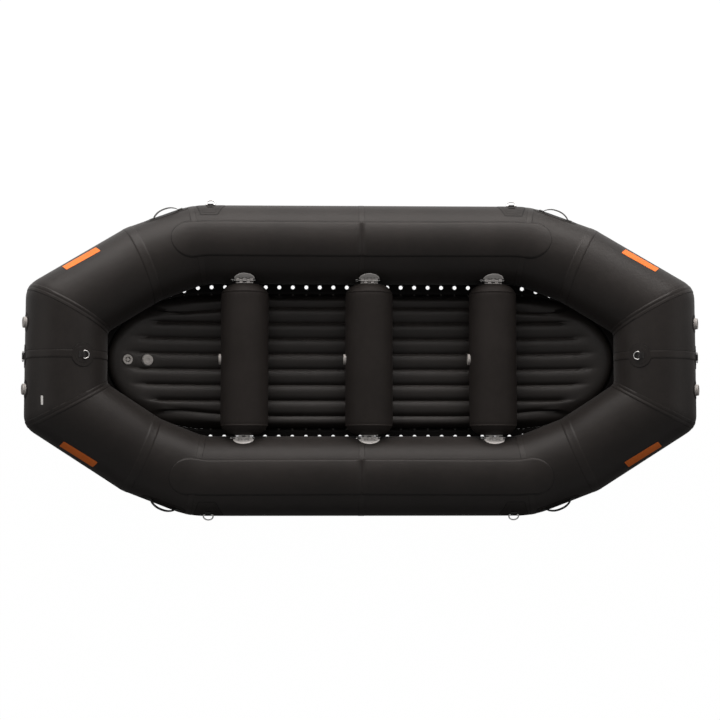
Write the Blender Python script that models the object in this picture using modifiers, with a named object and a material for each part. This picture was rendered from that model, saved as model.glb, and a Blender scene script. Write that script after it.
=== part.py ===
"""A self-bailing whitewater raft: four air chambers in a kicked-up ring, an I-beam floor,
a drain skirt and three hinged thwarts. Metres, +Z up, +Y starboard, the bow towards -X."""

import math

import bmesh
import bpy
from mathutils import Matrix, Vector

# Clearances and shared working sizes
GAP = 0.0003
OVERRUN = 0.010
WELD = 0.00005

# Air tubes, in sections that swell to a flat facet underneath
TUBE_RADIUS = 0.254
TUBE_SIDES = 32
TUBE_WALL = 0.002
SIDE_Y = 0.745
LAST_THWART_TO_SHOULDER = 0.209
SHOULDER_RUN = 0.345
BEND_Y = 0.607
BEND_RISE = 0.060
BEND_RUN = 0.451
CORNER_Y = 0.300
FACET_RUN = 0.020
END_RISE = 0.213

# Bulkheads inside the tubes, between two chambers
BULKHEAD_WEB = 0.003
BULKHEAD_FLANGE = 0.050
BULKHEAD_SKIN = 0.0025

# Inflatable I-beam floor
SKIRT_SPAN = 0.1293
RIB_PITCH = 0.1018
FULL_RIBS = 7
RIB_CREST = 0.0575
RIB_VALLEY = 0.035
SIDE_RIB_CREST = 0.050
RIB_END_INSET = 0.266
RIB_EDGE_INSET = 0.095
RIB_FADE = 0.055
RIB_ROUND_SHARE = 0.8
FLOOR_END_INSET = 0.226
FLOOR_EDGE_INSET = 0.035
FLOOR_BORDER_THICK = 0.056
FLOOR_BORDER_SHARE = 0.35
FLOOR_CROWN_SHARE = 0.8
KICK_START_INSET = 0.055
KICK_BEND_INSET = 0.085
RIB_STEPS = 4
FLOOR_LEVEL_SHARE = 0.94
FLOOR_BEND_SHARE = 0.72

# Drain skirt between the floor and the tubes
SKIRT_THICK = 0.002
SKIRT_EDGE_CLEARANCE = 0.0012
SKIRT_SHOULDER_CLEARANCE = 0.010
SKIRT_LEG_CLEARANCE = 0.020
SKIRT_END_CLEARANCE = 0.024
DRAIN_RADIUS = 0.013
DRAIN_PITCH = 0.0889
DRAIN_PLACE_SHARE = 0.43
DRAIN_SIDES = 6
DRAIN_END_INSET = 0.110

# Thwarts
THWART_RADIUS = 0.1515
THWART_SIDES = 20
THWART_PIN_SETBACK = 0.01715
THWART_LIFT = 0.050
THWART_FLAT = 0.065
THWART_SPACING = 0.796
THWART_SHIFT = 0.050
THWART_COUNT = 3
THWART_ROUND_STEPS = 3

# Thwart hinges: a leaf on the tube, a leaf on the thwart and a loose pin rod
HINGE_FACETS_UP = 2
PIN_OFF_TUBE = 0.0090
PIN_RADIUS = 0.003
PIN_CLEARANCE = 0.0003
KNUCKLE_RADIUS = 0.0080
KNUCKLE_SIDES = 8
KNUCKLE_LENGTH = 0.0220
KNUCKLE_COUNT = 5
LEAF_RADIUS = 0.0655
LEAF_THICK = 0.0040
LEAF_STEPS = 8
THWART_LEAF_RADIUS = 0.055
THWART_LEAF_THICK = 0.0045
THWART_LEAF_SINK = 0.0015
ARM_THICK = 0.008
ARM_REACH_SHARE = 0.6
ROD_TAIL = 0.014
ROD_EYE_RADIUS = 0.009
ROD_EYE_WIRE = 0.0024
ROD_EYE_STEPS = 8

# D-rings on webbing loops and patches
RING_WIRE = 0.0042
RING_HALF_WIDTH = 0.0305
RING_STRAIGHT = 0.012
RING_STEPS = 7
RING_LIFT = 0.0105
LOOP_HALF_WIDTH = 0.019
LOOP_SKIN = 0.0022
LOOP_CLEARANCE = 0.0008
LOOP_STEPS = 8
PATCH_THICK = 0.0016
SIDE_RING_INSET = 0.088
SIDE_PATCH_BASE_HALF = 0.087
SIDE_PATCH_TOP_HALF = 0.052
SIDE_PATCH_UP = 0.125
SIDE_PATCH_DOWN = 0.040
SIDE_RING_FACETS_UP = 2
SIDE_RING_DROOP = 62.0
END_PATCH_RADIUS = 0.065
END_OUTER_FACETS_UP = 1
END_TOP_FACETS_UP = 5
END_OUTER_DROOP = 84.0
END_TOP_DROOP = 84.0
END_TAPE_WIDTH = 0.070
PATCH_STEPS = 16

# Carry handles on the shoulders
HANDLE_HALF = 0.0765
HANDLE_BULGE = 0.034
HANDLE_WIDTH = 0.038
HANDLE_THICK = 0.003
HANDLE_FOOT = 0.026
HANDLE_STEPS = 8
HANDLE_FACETS_UP = 2
HANDLE_PLACE_SHARE = 0.346

# Valves
VALVE_FLANGE_RADIUS = 0.0370
VALVE_FLANGE_THICK = 0.0070
VALVE_BARREL_RADIUS = 0.0200
VALVE_BARREL_LENGTH = 0.0300
VALVE_BORE_RADIUS = 0.0140
VALVE_SIDES = 16
THWART_VALVE_POCKET = 0.0055
FLOOR_VALVE_POCKET = 0.0110
CAP_RADIUS = 0.0345
CAP_HEIGHT = 0.0120
CAP_EDGE = 0.0030
CAP_PLUG_RADIUS = 0.0135
CAP_PLUG_LENGTH = 0.0080
CHAMBER_VALVE_Y = 0.208
CHAMBER_VALVE_FACETS_UP = 2
FLOOR_VALVE_INSET = 0.211
RELIEF_SPACING = 0.121
RELIEF_RADIUS = 0.0320
RELIEF_SLOT_RADIUS = 0.0240
RELIEF_DOT_RADIUS = 0.0110
RELIEF_HEIGHT = 0.0090
RELIEF_SLOT_DEPTH = 0.0045

# Derived tube geometry
HALF_FACET = math.pi / TUBE_SIDES
FACET = math.tau / TUBE_SIDES
APOTHEM = TUBE_RADIUS * math.cos(HALF_FACET)
AXIS_Z = APOTHEM
QUARTER = math.pi / 2
EIGHTH = math.pi / 4
SEAT_OFFSET = APOTHEM * math.cos(EIGHTH)
SHOULDER_X = THWART_SHIFT + THWART_SPACING * (THWART_COUNT - 1) / 2 + LAST_THWART_TO_SHOULDER
BEND_X = SHOULDER_X + SHOULDER_RUN
END_X = BEND_X + BEND_RUN
UP = Vector((0, 0, 1))

# Derived floor, thwart and fitting places
FLOOR_Z = AXIS_Z - SEAT_OFFSET
FLOOR_HALF_WIDTH = SIDE_Y - SEAT_OFFSET - SKIRT_SPAN
KICK_START_X = SHOULDER_X - KICK_START_INSET
KICK_BEND_X = BEND_X - KICK_BEND_INSET
RIB_END_CENTRE = END_X - RIB_END_INSET
RIB_END_EDGE = SHOULDER_X - RIB_EDGE_INSET
FLOOR_END_CENTRE = END_X - FLOOR_END_INSET
FLOOR_END_EDGE = SHOULDER_X - FLOOR_EDGE_INSET
FLOOR_VALVE_X = RIB_END_CENTRE - FLOOR_VALVE_INSET
RELIEF_X = FLOOR_VALVE_X + RELIEF_SPACING
DRAINS_PER_HALF = int((BEND_X - DRAIN_END_INSET) / DRAIN_PITCH)
PIN_Y = SIDE_Y - (APOTHEM + PIN_OFF_TUBE) * math.cos(HINGE_FACETS_UP * FACET)
THWART_HALF = PIN_Y - THWART_PIN_SETBACK
SIDE_RING_X = SHOULDER_X - SIDE_RING_INSET

PAINTS = {
    "coated_fabric": ((0.035, 0.034, 0.036), 0.55, 0.0),
    "floor_fabric": ((0.040, 0.039, 0.041), 0.60, 0.0),
    "webbing": ((0.020, 0.020, 0.021), 0.85, 0.0),
    "grey_plastic": ((0.600, 0.610, 0.620), 0.45, 0.0),
    "bright_steel": ((0.720, 0.720, 0.730), 0.22, 1.0),
    "dark_plastic": ((0.060, 0.060, 0.062), 0.50, 0.0),
}


def clear_scene():
    for obj in list(bpy.data.objects):
        bpy.data.objects.remove(obj, do_unlink=True)


def new_collection(name):
    collection = bpy.data.collections.new(name)
    bpy.context.scene.collection.children.link(collection)
    return collection


def material(name, paint):
    colour, roughness, metallic = PAINTS[paint]
    made = bpy.data.materials.new(name)
    made.use_nodes = True
    shader = made.node_tree.nodes["Principled BSDF"]
    shader.inputs["Base Color"].default_value = (*colour, 1.0)
    shader.inputs["Roughness"].default_value = roughness
    shader.inputs["Metallic"].default_value = metallic
    return made


def add_object(name, mesh, paint=None, place=None):
    """Links a mesh as a raft piece, or as a cutter when it has no paint."""
    obj = bpy.data.objects.new(name, mesh)
    if place is not None:
        obj.matrix_world = place
    if paint is None:
        CUTTERS.objects.link(obj)
        obj.hide_render = True
        obj.display_type = "WIRE"
        return obj
    RAFT.objects.link(obj)
    mesh.materials.clear()
    mesh.materials.append(material(name, paint))
    mesh.shade_smooth()
    mesh.set_sharp_from_angle(angle=EIGHTH * 0.8)
    return obj


def as_mesh(name, bm):
    mesh = bpy.data.meshes.new(name)
    bm.to_mesh(mesh)
    bm.free()
    return mesh


def evaluated_mesh(obj, name):
    """The object's mesh after its modifiers or its bevel, welded; the object is removed."""
    graph = bpy.context.evaluated_depsgraph_get()
    mesh = bpy.data.meshes.new_from_object(obj.evaluated_get(graph))
    mesh.name = name
    bpy.data.objects.remove(obj, do_unlink=True)
    bm = bmesh.new()
    bm.from_mesh(mesh)
    bmesh.ops.remove_doubles(bm, verts=bm.verts, dist=WELD)
    bm.to_mesh(mesh)
    bm.free()
    return mesh


def combine(mesh, others, operation, name):
    """One mesh from a base mesh and others, each given as a mesh and its place."""
    base = bpy.data.objects.new(name, mesh)
    CUTTERS.objects.link(base)
    helpers = []
    for other, place in others:
        helper = bpy.data.objects.new(name + "_tool", other)
        helper.matrix_world = place
        CUTTERS.objects.link(helper)
        step = base.modifiers.new("combine", "BOOLEAN")
        step.operation = operation
        step.solver = "EXACT"
        step.object = helper
        helpers.append(helper)
    bpy.context.view_layer.update()
    result = evaluated_mesh(base, name)
    for helper in helpers:
        bpy.data.objects.remove(helper, do_unlink=True)
    return result


def turned(name, profile, sides, turn=0.0):
    """A solid turned about local Z from (radius, height) pairs that run top to bottom."""
    bm = bmesh.new()
    spin = Matrix.Rotation(turn, 3, "Z")
    points = [bm.verts.new(spin @ Vector((radius, 0, height))) for radius, height in profile]
    for first, second in zip(points, points[1:]):
        bm.edges.new((first, second))
    obj = bpy.data.objects.new(name, as_mesh(name, bm))
    CUTTERS.objects.link(obj)
    screw = obj.modifiers.new("turn", "SCREW")
    screw.steps = sides
    screw.render_steps = sides
    screw.use_merge_vertices = True
    screw.merge_threshold = WELD
    bpy.context.view_layer.update()
    return evaluated_mesh(obj, name)


def flat_outline(name, outlines, thickness):
    """A flat piece of the given outlines, the first its edge and the rest its holes."""
    curve = bpy.data.curves.new(name, "CURVE")
    curve.dimensions = "2D"
    curve.fill_mode = "BOTH"
    curve.extrude = thickness / 2
    for outline in outlines:
        spline = curve.splines.new("POLY")
        spline.points.add(len(outline) - 1)
        for point, (x, y) in zip(spline.points, outline):
            point.co = (x, y, 0, 1)
        spline.use_cyclic_u = True
    obj = bpy.data.objects.new(name, curve)
    CUTTERS.objects.link(obj)
    bpy.context.view_layer.update()
    return evaluated_mesh(obj, name)


def wire(name, points, radius, cyclic):
    curve = bpy.data.curves.new(name, "CURVE")
    curve.dimensions = "3D"
    curve.bevel_depth = radius
    curve.bevel_resolution = 1
    curve.use_fill_caps = True
    spline = curve.splines.new("POLY")
    spline.points.add(len(points) - 1)
    for point, (x, y, z) in zip(spline.points, points):
        point.co = (x, y, z, 1)
    spline.use_cyclic_u = cyclic
    obj = bpy.data.objects.new(name, curve)
    CUTTERS.objects.link(obj)
    bpy.context.view_layer.update()
    return evaluated_mesh(obj, name)


def cylinder(name, radius, length, sides):
    """A cylinder about local Z, from 0 to its length, with a facet facing local X."""
    bm = bmesh.new()
    turn = Matrix.Rotation(math.pi / sides, 4, "Z")
    shift = Matrix.Translation((0, 0, length / 2))
    bmesh.ops.create_cone(
        bm, cap_ends=True, segments=sides, radius1=radius, radius2=radius, depth=length, matrix=turn @ shift
    )
    return as_mesh(name, bm)


def frame_at(origin, along, outward):
    """Local X along a tube, local Z outward from it, local Y completing the set."""
    x_axis = along.normalized()
    z_axis = (outward - outward.dot(x_axis) * x_axis).normalized()
    y_axis = z_axis.cross(x_axis)
    rows = Matrix((x_axis, y_axis, z_axis)).transposed().to_4x4()
    return Matrix.Translation(origin) @ rows


def arc_points(radius, start, end, steps):
    """Points of a round stretch, first and last included."""
    angles = [start + (end - start) * step / steps for step in range(steps + 1)]
    return [(radius * math.cos(angle), radius * math.sin(angle)) for angle in angles]


def ring_path(side_x, side_y):
    """A chamber's centreline, from the middle of a side to the middle of an end."""
    shoulder = Vector((side_x * SHOULDER_X, side_y * SIDE_Y, AXIS_Z))
    bend = Vector((side_x * BEND_X, side_y * BEND_Y, AXIS_Z + BEND_RISE))
    corner = Vector((side_x * END_X, side_y * CORNER_Y, AXIS_Z + END_RISE))
    middle = Vector((0, side_y * SIDE_Y, AXIS_Z))
    end = Vector((side_x * END_X, 0, AXIS_Z + END_RISE))
    return [middle, shoulder, bend, corner, end]


def tube_stations(path):
    """Each ring of a chamber as a point and normal of its plane, and the leg that sets its facets.

    A short run past each joint turns the facets level with the next leg.
    """
    legs = [(second - first).normalized() for first, second in zip(path, path[1:])]
    mitres = [(before + after).normalized() for before, after in zip(legs, legs[1:])]
    return legs, [
        (path[0] + legs[0] * GAP / 2, legs[0], 0),
        (path[1], mitres[0], 0),
        (path[1] + legs[1] * FACET_RUN, mitres[0], 1),
        (path[2], mitres[1], 1),
        (path[2] + legs[2] * FACET_RUN, mitres[1], 2),
        (path[3], mitres[2], 2),
        (path[3] + legs[3] * FACET_RUN, mitres[2], 3),
        (path[4] - legs[3] * GAP / 2, legs[3], 3),
    ]


def swept_skin(name, path):
    """An open skin of round section along straight legs that meet on mitre planes."""
    legs, stations = tube_stations(path)
    bm = bmesh.new()
    last_ring = []
    for point, normal, owner in stations:
        leg = legs[owner]
        start = frame_at(path[owner], UP.cross(leg), leg) @ Matrix.Rotation(HALF_FACET, 4, "Z")
        made = bmesh.ops.create_circle(
            bm, cap_ends=False, segments=TUBE_SIDES, radius=TUBE_RADIUS, matrix=start
        )["verts"]
        for vertex in made:
            vertex.co += leg * (point - vertex.co).dot(normal) / leg.dot(normal)
        ring = list({edge for vertex in made for edge in vertex.link_edges})
        if last_ring:
            bmesh.ops.bridge_loops(bm, edges=last_ring + ring)
        last_ring = ring
    bmesh.ops.recalc_face_normals(bm, faces=bm.faces)
    bm.faces.ensure_lookup_table()
    sample = bm.faces[0]
    centre = sample.calc_center_median()
    axis_point = path[0] + legs[0] * (centre - path[0]).dot(legs[0])
    if sample.normal.dot(centre - axis_point) < 0:
        bmesh.ops.reverse_faces(bm, faces=bm.faces)
    obj = bpy.data.objects.new(name, as_mesh(name, bm))
    CUTTERS.objects.link(obj)
    shell = obj.modifiers.new("wall", "SOLIDIFY")
    shell.thickness = TUBE_WALL
    shell.offset = -1
    shell.use_even_offset = True
    bpy.context.view_layer.update()
    return evaluated_mesh(obj, name)


def tube_place(leg_from, leg_to, distance, facets_up, outboard):
    """A frame on a tube's facet: local Z its normal, local X along the tube towards +X or +Y."""
    along = (leg_to - leg_from).normalized()
    level = UP.cross(along).normalized()
    if level.dot(outboard) < 0:
        level = -level
    upright = along.cross(level)
    if upright.z < 0:
        upright = -upright
    angle = facets_up * FACET
    outward = level * math.cos(angle) + upright * math.sin(angle)
    run = along if (along.x > 0 or abs(along.x) < WELD and along.y > 0) else -along
    return frame_at(leg_from + along * distance + outward * APOTHEM, run, outward)


def conformed(name, outline, place, thickness, lift=GAP):
    """A sheet with the given outline, wrapped on the facets of the tube under its place."""
    reach = APOTHEM
    prism = flat_outline(name, [outline], reach)
    prism.transform(Matrix.Translation((0, 0, reach / 2 - reach / 4)))
    length = 2 * max(abs(x) for x, y in outline) + 2 * OVERRUN
    axis_place = Matrix.Translation((0, 0, -APOTHEM)) @ Matrix.Rotation(QUARTER, 4, "Y")
    axis_place = axis_place @ Matrix.Translation((0, 0, -length / 2))
    inner_radius = TUBE_RADIUS + lift / math.cos(HALF_FACET)
    outer_radius = inner_radius + thickness / math.cos(HALF_FACET)
    outer = cylinder(name + "_outer", outer_radius, length, TUBE_SIDES)
    inner = cylinder(name + "_inner", inner_radius, length, TUBE_SIDES)
    sheet = combine(prism, [(outer, axis_place)], "INTERSECT", name)
    return combine(sheet, [(inner, axis_place)], "DIFFERENCE", name)


clear_scene()
RAFT = new_collection("whitewater_raft")
CUTTERS = new_collection("raft_cutters")
ENDS = {"bow": -1, "stern": 1}
SIDES = {"starboard": 1, "port": -1}


# Chambers and bulkheads


def end_facet(end_sign, distance_y, facets_up, outboard_sign):
    """A frame on an end tube's facet, with local X along +Y."""
    middle = Vector((end_sign * END_X, 0, AXIS_Z + END_RISE))
    outboard = Vector((outboard_sign * end_sign, 0, 0))
    return tube_place(middle, middle + Vector((0, 1, 0)), distance_y, facets_up, outboard)


def side_facet(x, side_sign, facets_up, outboard_sign):
    """A frame on a straight side tube's facet, with local X along +X."""
    middle = Vector((0, side_sign * SIDE_Y, AXIS_Z))
    outboard = Vector((0, outboard_sign * side_sign, 0))
    return tube_place(middle, middle + Vector((1, 0, 0)), x, facets_up, outboard)


def make_chambers():
    radius = VALVE_BARREL_RADIUS + GAP
    profile = [(0, OVERRUN), (radius, OVERRUN), (radius, -OVERRUN), (0, -OVERRUN)]
    hole = turned("chamber_valve_hole", profile, VALVE_SIDES)
    for end, end_sign in ENDS.items():
        for side, side_sign in SIDES.items():
            name = f"chamber_{end}_{side}"
            path = ring_path(end_sign, side_sign)
            skin = swept_skin(name, path)
            place = end_facet(end_sign, side_sign * CHAMBER_VALVE_Y, CHAMBER_VALVE_FACETS_UP, 1)
            skin = combine(skin, [(hole, place)], "DIFFERENCE", name)
            add_object(name, skin, "coated_fabric")


def make_bulkhead(name, place):
    outer = TUBE_RADIUS - (TUBE_WALL + GAP) / math.cos(HALF_FACET)
    inner = outer - BULKHEAD_SKIN
    web, flange = BULKHEAD_WEB / 2, BULKHEAD_FLANGE / 2
    profile = [
        (0, web),
        (inner, web),
        (inner, flange),
        (outer, flange),
        (outer, -flange),
        (inner, -flange),
        (inner, -web),
        (0, -web),
    ]
    add_object(name, turned(name, profile, TUBE_SIDES, HALF_FACET), "coated_fabric", place)


def make_bulkheads():
    for side, side_sign in SIDES.items():
        origin = Vector((0, side_sign * SIDE_Y, AXIS_Z))
        make_bulkhead(f"bulkhead_{side}", frame_at(origin, Vector((0, 1, 0)), Vector((1, 0, 0))))
    for end, end_sign in ENDS.items():
        origin = Vector((end_sign * END_X, 0, AXIS_Z + END_RISE))
        make_bulkhead(f"bulkhead_{end}", frame_at(origin, Vector((1, 0, 0)), Vector((0, 1, 0))))


# Floor and drain skirt


def kick(x):
    """How far the floor has risen at this distance from the middle."""
    run = abs(x)
    seat_end = END_X - SEAT_OFFSET
    if run <= KICK_START_X:
        return 0.0
    if run <= KICK_BEND_X:
        return BEND_RISE * (run - KICK_START_X) / (KICK_BEND_X - KICK_START_X)
    share = (run - KICK_BEND_X) / (seat_end - KICK_BEND_X)
    return BEND_RISE + (END_RISE - BEND_RISE) * share


def rib_end(y):
    """How far from the middle a rib reaches at this distance from the centreline."""
    share = min(abs(y) / FLOOR_HALF_WIDTH, 1)
    return RIB_END_EDGE + (RIB_END_CENTRE - RIB_END_EDGE) * (1 - share**2) ** RIB_ROUND_SHARE


def floor_end(y):
    """How far from the middle the floor reaches, an ellipse past the straight sides."""
    share = min(abs(y) / FLOOR_HALF_WIDTH, 1)
    return FLOOR_END_EDGE + (FLOOR_END_CENTRE - FLOOR_END_EDGE) * math.sqrt(1 - share**2)


def rib_height(y):
    """Half the floor's thickness across it: full ribs, then a narrower rib down to each edge."""
    full_half = FULL_RIBS * RIB_PITCH / 2
    rise = RIB_CREST - RIB_VALLEY
    if abs(y) <= full_half:
        place = (y + full_half) / RIB_PITCH
        offset = (place - math.floor(place) - 1 / 2) * RIB_PITCH
        half = RIB_PITCH / 2
        radius = (half**2 + rise**2) / (2 * rise)
        return RIB_CREST - radius + math.sqrt(radius**2 - offset**2)
    share = (abs(y) - full_half) / (FLOOR_HALF_WIDTH - full_half)
    crown = math.sin(math.pi * share) * (SIDE_RIB_CREST - RIB_VALLEY * math.sqrt(3) / 2)
    return RIB_VALLEY * math.sqrt(max(1 - share**2, 0)) + crown


def floor_rows():
    """Distances from the centreline of the floor's lines of points."""
    full_half = FULL_RIBS * RIB_PITCH / 2
    inner = [-full_half + RIB_PITCH * step / RIB_STEPS for step in range(FULL_RIBS * RIB_STEPS + 1)]
    side = FLOOR_HALF_WIDTH - full_half
    outer = [full_half + side * step / RIB_STEPS for step in range(1, RIB_STEPS + 1)]
    return [-y for y in reversed(outer)] + inner + outer


def floor_columns(y):
    """Distances from the middle of the floor's points along one line, from end to end."""
    ends, ribs = floor_end(y), rib_end(y)
    tail = ribs - RIB_FADE
    level = min(KICK_START_X, tail * FLOOR_LEVEL_SHARE)
    bend = level + (tail - level) * FLOOR_BEND_SHARE
    border = ends - (ends - ribs) * FLOOR_BORDER_SHARE
    half = [0, level, bend, tail, ribs, border, ends]
    return [-x for x in reversed(half[1:])] + half


def floor_thickness(x, y):
    """Half the floor's thickness at a point: ribs that die out in a rounded border."""
    run, ends, ribs = abs(x), floor_end(y), rib_end(y)
    border = min(FLOOR_BORDER_THICK / 2, rib_height(y))
    if run <= ribs:
        return border + (rib_height(y) - border) * min((ribs - run) / RIB_FADE, 1)
    inset = (ends - run) / (ends - ribs)
    if inset < FLOOR_BORDER_SHARE:
        return border * FLOOR_CROWN_SHARE * inset / FLOOR_BORDER_SHARE
    crown = (inset - FLOOR_BORDER_SHARE) / (1 - FLOOR_BORDER_SHARE)
    return border * (FLOOR_CROWN_SHARE + (1 - FLOOR_CROWN_SHARE) * crown)


def make_floor():
    rows = floor_rows()
    count = len(floor_columns(0))
    bm = bmesh.new()
    bmesh.ops.create_grid(bm, x_segments=count - 1, y_segments=len(rows) - 1, size=1)
    bm.verts.ensure_lookup_table()
    ordered = sorted(bm.verts, key=lambda vertex: (round(vertex.co.y, 4), round(vertex.co.x, 4)))
    for number, vertex in enumerate(ordered):
        y = rows[number // count]
        x = floor_columns(y)[number % count]
        edge = number % count in (0, count - 1) or number // count in (0, len(rows) - 1)
        vertex.co = (x, y, 0 if edge else floor_thickness(x, y))
    obj = bpy.data.objects.new("floor", as_mesh("floor", bm))
    CUTTERS.objects.link(obj)
    mirror = obj.modifiers.new("underside", "MIRROR")
    mirror.use_axis = (False, False, True)
    mirror.merge_threshold = WELD
    bpy.context.view_layer.update()
    floor = evaluated_mesh(obj, "floor")
    bm = bmesh.new()
    bm.from_mesh(floor)
    for vertex in bm.verts:
        vertex.co.z += FLOOR_Z + kick(vertex.co.x)
    bmesh.ops.recalc_face_normals(bm, faces=bm.faces)
    bm.to_mesh(floor)
    bm.free()
    pockets = [
        (valve_cutter(FLOOR_VALVE_POCKET), floor_place(FLOOR_VALVE_X, FLOOR_VALVE_POCKET)),
        (relief_cutter(), floor_place(RELIEF_X, 0)),
    ]
    add_object("floor", combine(floor, pockets, "DIFFERENCE", "floor"), "floor_fabric")


def floor_place(x, pocket):
    """A frame on the bow half of the floor's centre rib, square to its slope."""
    slope = (kick(x + OVERRUN) - kick(x - OVERRUN)) / (2 * OVERRUN)
    outward = Vector((slope, 0, 1)).normalized()
    origin = Vector((-x, 0, FLOOR_Z + kick(x) + floor_thickness(x, 0)))
    return frame_at(origin - outward * pocket, Vector((0, 1, 0)), outward)


def offset_line(points, distance):
    """The mitred parallel, inboard, of an outline of points in a plane."""
    moved = []
    for number in range(1, len(points) - 1):
        before = (points[number] - points[number - 1]).normalized()
        after = (points[number + 1] - points[number]).normalized()
        normals = [Vector((leg.y, -leg.x)) for leg in (before, after)]
        bisector = (normals[0] + normals[1]).normalized()
        moved.append(points[number] + bisector * distance / bisector.dot(normals[0]))
    return moved


def skirt_outer():
    """Corners of the skirt's outer edge, one quarter, where it lies on the tubes."""
    corner = Vector((END_X, CORNER_Y))
    shoulder = Vector((SHOULDER_X, SIDE_Y))
    bend = Vector((BEND_X, BEND_Y))
    line = [Vector((-SHOULDER_X, SIDE_Y)), shoulder, bend, corner, Vector((END_X, -CORNER_Y))]
    outer = offset_line(line, SEAT_OFFSET + GAP * math.sqrt(2) + SKIRT_THICK / 2)
    outer[0].y -= SKIRT_SHOULDER_CLEARANCE
    outer[1] -= Vector((SKIRT_LEG_CLEARANCE, SKIRT_LEG_CLEARANCE))
    outer[2] -= Vector((SKIRT_END_CLEARANCE, SKIRT_END_CLEARANCE))
    start = Vector((0, outer[0].y + SKIRT_SHOULDER_CLEARANCE))
    level = Vector((KICK_START_X, start.y))
    return [start, level] + outer + [Vector((outer[2].x, 0))]


def nearest_on(line, point):
    """The closest point to a given one on a line of points."""
    found = []
    for start, end in zip(line, line[1:]):
        leg = end - start
        share = min(max((point - start).dot(leg) / leg.length_squared, 0), 1)
        found.append(start + leg * share)
    return min(found, key=lambda place: (place - point).length)


def skirt_band():
    """Matching points on the skirt's inner and outer edges, one quarter."""
    outer_line = skirt_outer()
    side = FLOOR_HALF_WIDTH + GAP
    inner = [Vector((0, side)), Vector((KICK_START_X, side))]
    for y in reversed([y for y in floor_rows() if y > -WELD]):
        inner.append(Vector((floor_end(y) + SKIRT_EDGE_CLEARANCE, min(y + SKIRT_EDGE_CLEARANCE, side))))
    inner[-1].y = 0
    outer = [nearest_on(outer_line, point) for point in inner]
    outer[0], outer[1], outer[-1] = outer_line[0], outer_line[1], outer_line[-1]
    for corner in outer_line[2:-1]:
        closest = min(range(2, len(outer) - 1), key=lambda number: (outer[number] - corner).length)
        outer[closest] = corner
    return inner, outer


def drain_places():
    """Centres of the drain holes, one quarter, between the skirt's two edges."""
    inner, outer = skirt_band()
    places = []
    for number in range(DRAINS_PER_HALF + 1):
        x = number * DRAIN_PITCH
        edges = []
        for line in (inner, outer):
            for start, end in zip(line, line[1:]):
                if start.x <= x <= end.x:
                    edges.append(start.y + (end.y - start.y) * (x - start.x) / (end.x - start.x))
                    break
        places.append((x, edges[0] + (edges[1] - edges[0]) * DRAIN_PLACE_SHARE))
    return places


def make_skirt():
    inner, outer = skirt_band()
    bm = bmesh.new()
    rungs = []
    for near, far in zip(inner, outer):
        ends = [bm.verts.new((point.x, point.y, kick(point.x))) for point in (near, far)]
        rungs.append(bm.edges.new(ends))
    for first, second in zip(rungs, rungs[1:]):
        bmesh.ops.bridge_loops(bm, edges=[first, second])
    bmesh.ops.recalc_face_normals(bm, faces=bm.faces)
    obj = bpy.data.objects.new("drain_skirt", as_mesh("drain_skirt", bm))
    CUTTERS.objects.link(obj)
    mirror = obj.modifiers.new("whole_ring", "MIRROR")
    mirror.use_axis = (True, True, False)
    mirror.merge_threshold = WELD
    sheet = obj.modifiers.new("fabric", "SOLIDIFY")
    sheet.thickness = SKIRT_THICK
    sheet.offset = 0
    bpy.context.view_layer.update()
    skirt = evaluated_mesh(obj, "drain_skirt")
    skirt.transform(Matrix.Translation((0, 0, FLOOR_Z)))
    hole = cylinder("drain_hole", DRAIN_RADIUS, 2 * END_RISE, DRAIN_SIDES)
    cuts = []
    for x, y in drain_places():
        for sign_x in (-1, 1) if x > WELD else (1,):
            for sign_y in (-1, 1):
                cuts.append((hole, Matrix.Translation((sign_x * x, sign_y * y, 0))))
    skirt = combine(skirt, cuts, "DIFFERENCE", "drain_skirt")
    add_object("drain_skirt", skirt, "coated_fabric")


# Valves


def valve_cutter(pocket):
    """A flange pocket over a barrel bore, its floor at height 0."""
    flange = VALVE_FLANGE_RADIUS + GAP
    barrel = VALVE_BARREL_RADIUS + GAP
    depth = VALVE_BARREL_LENGTH + GAP
    rise = pocket + OVERRUN
    profile = [(0, rise), (flange, rise), (flange, 0), (barrel, 0), (barrel, -depth), (0, -depth)]
    return turned("valve_cutter", profile, VALVE_SIDES)


def relief_cutter():
    radius = RELIEF_RADIUS + GAP
    profile = [(0, OVERRUN), (radius, OVERRUN), (radius, -RELIEF_SLOT_DEPTH), (0, -RELIEF_SLOT_DEPTH)]
    return turned("relief_cutter", profile, VALVE_SIDES)


def make_valve(name, place):
    """A flanged barrel, open right through, and the cap that turns on it."""
    top = GAP + VALVE_FLANGE_THICK
    body = [
        (VALVE_BORE_RADIUS, top),
        (VALVE_FLANGE_RADIUS, top),
        (VALVE_FLANGE_RADIUS, GAP),
        (VALVE_BARREL_RADIUS, GAP),
        (VALVE_BARREL_RADIUS, GAP - VALVE_BARREL_LENGTH),
        (VALVE_BORE_RADIUS, GAP - VALVE_BARREL_LENGTH),
        (VALVE_BORE_RADIUS, top),
    ]
    add_object(f"{name}_valve_body", turned(f"{name}_valve_body", body, VALVE_SIDES), "grey_plastic", place)
    seat = top + GAP
    cap = [
        (0, seat + CAP_HEIGHT),
        (CAP_RADIUS - CAP_EDGE, seat + CAP_HEIGHT),
        (CAP_RADIUS, seat + CAP_HEIGHT - CAP_EDGE),
        (CAP_RADIUS, seat),
        (CAP_PLUG_RADIUS, seat),
        (CAP_PLUG_RADIUS, seat - CAP_PLUG_LENGTH),
        (0, seat - CAP_PLUG_LENGTH),
    ]
    add_object(f"{name}_valve_cap", turned(f"{name}_valve_cap", cap, VALVE_SIDES), "grey_plastic", place)


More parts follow.
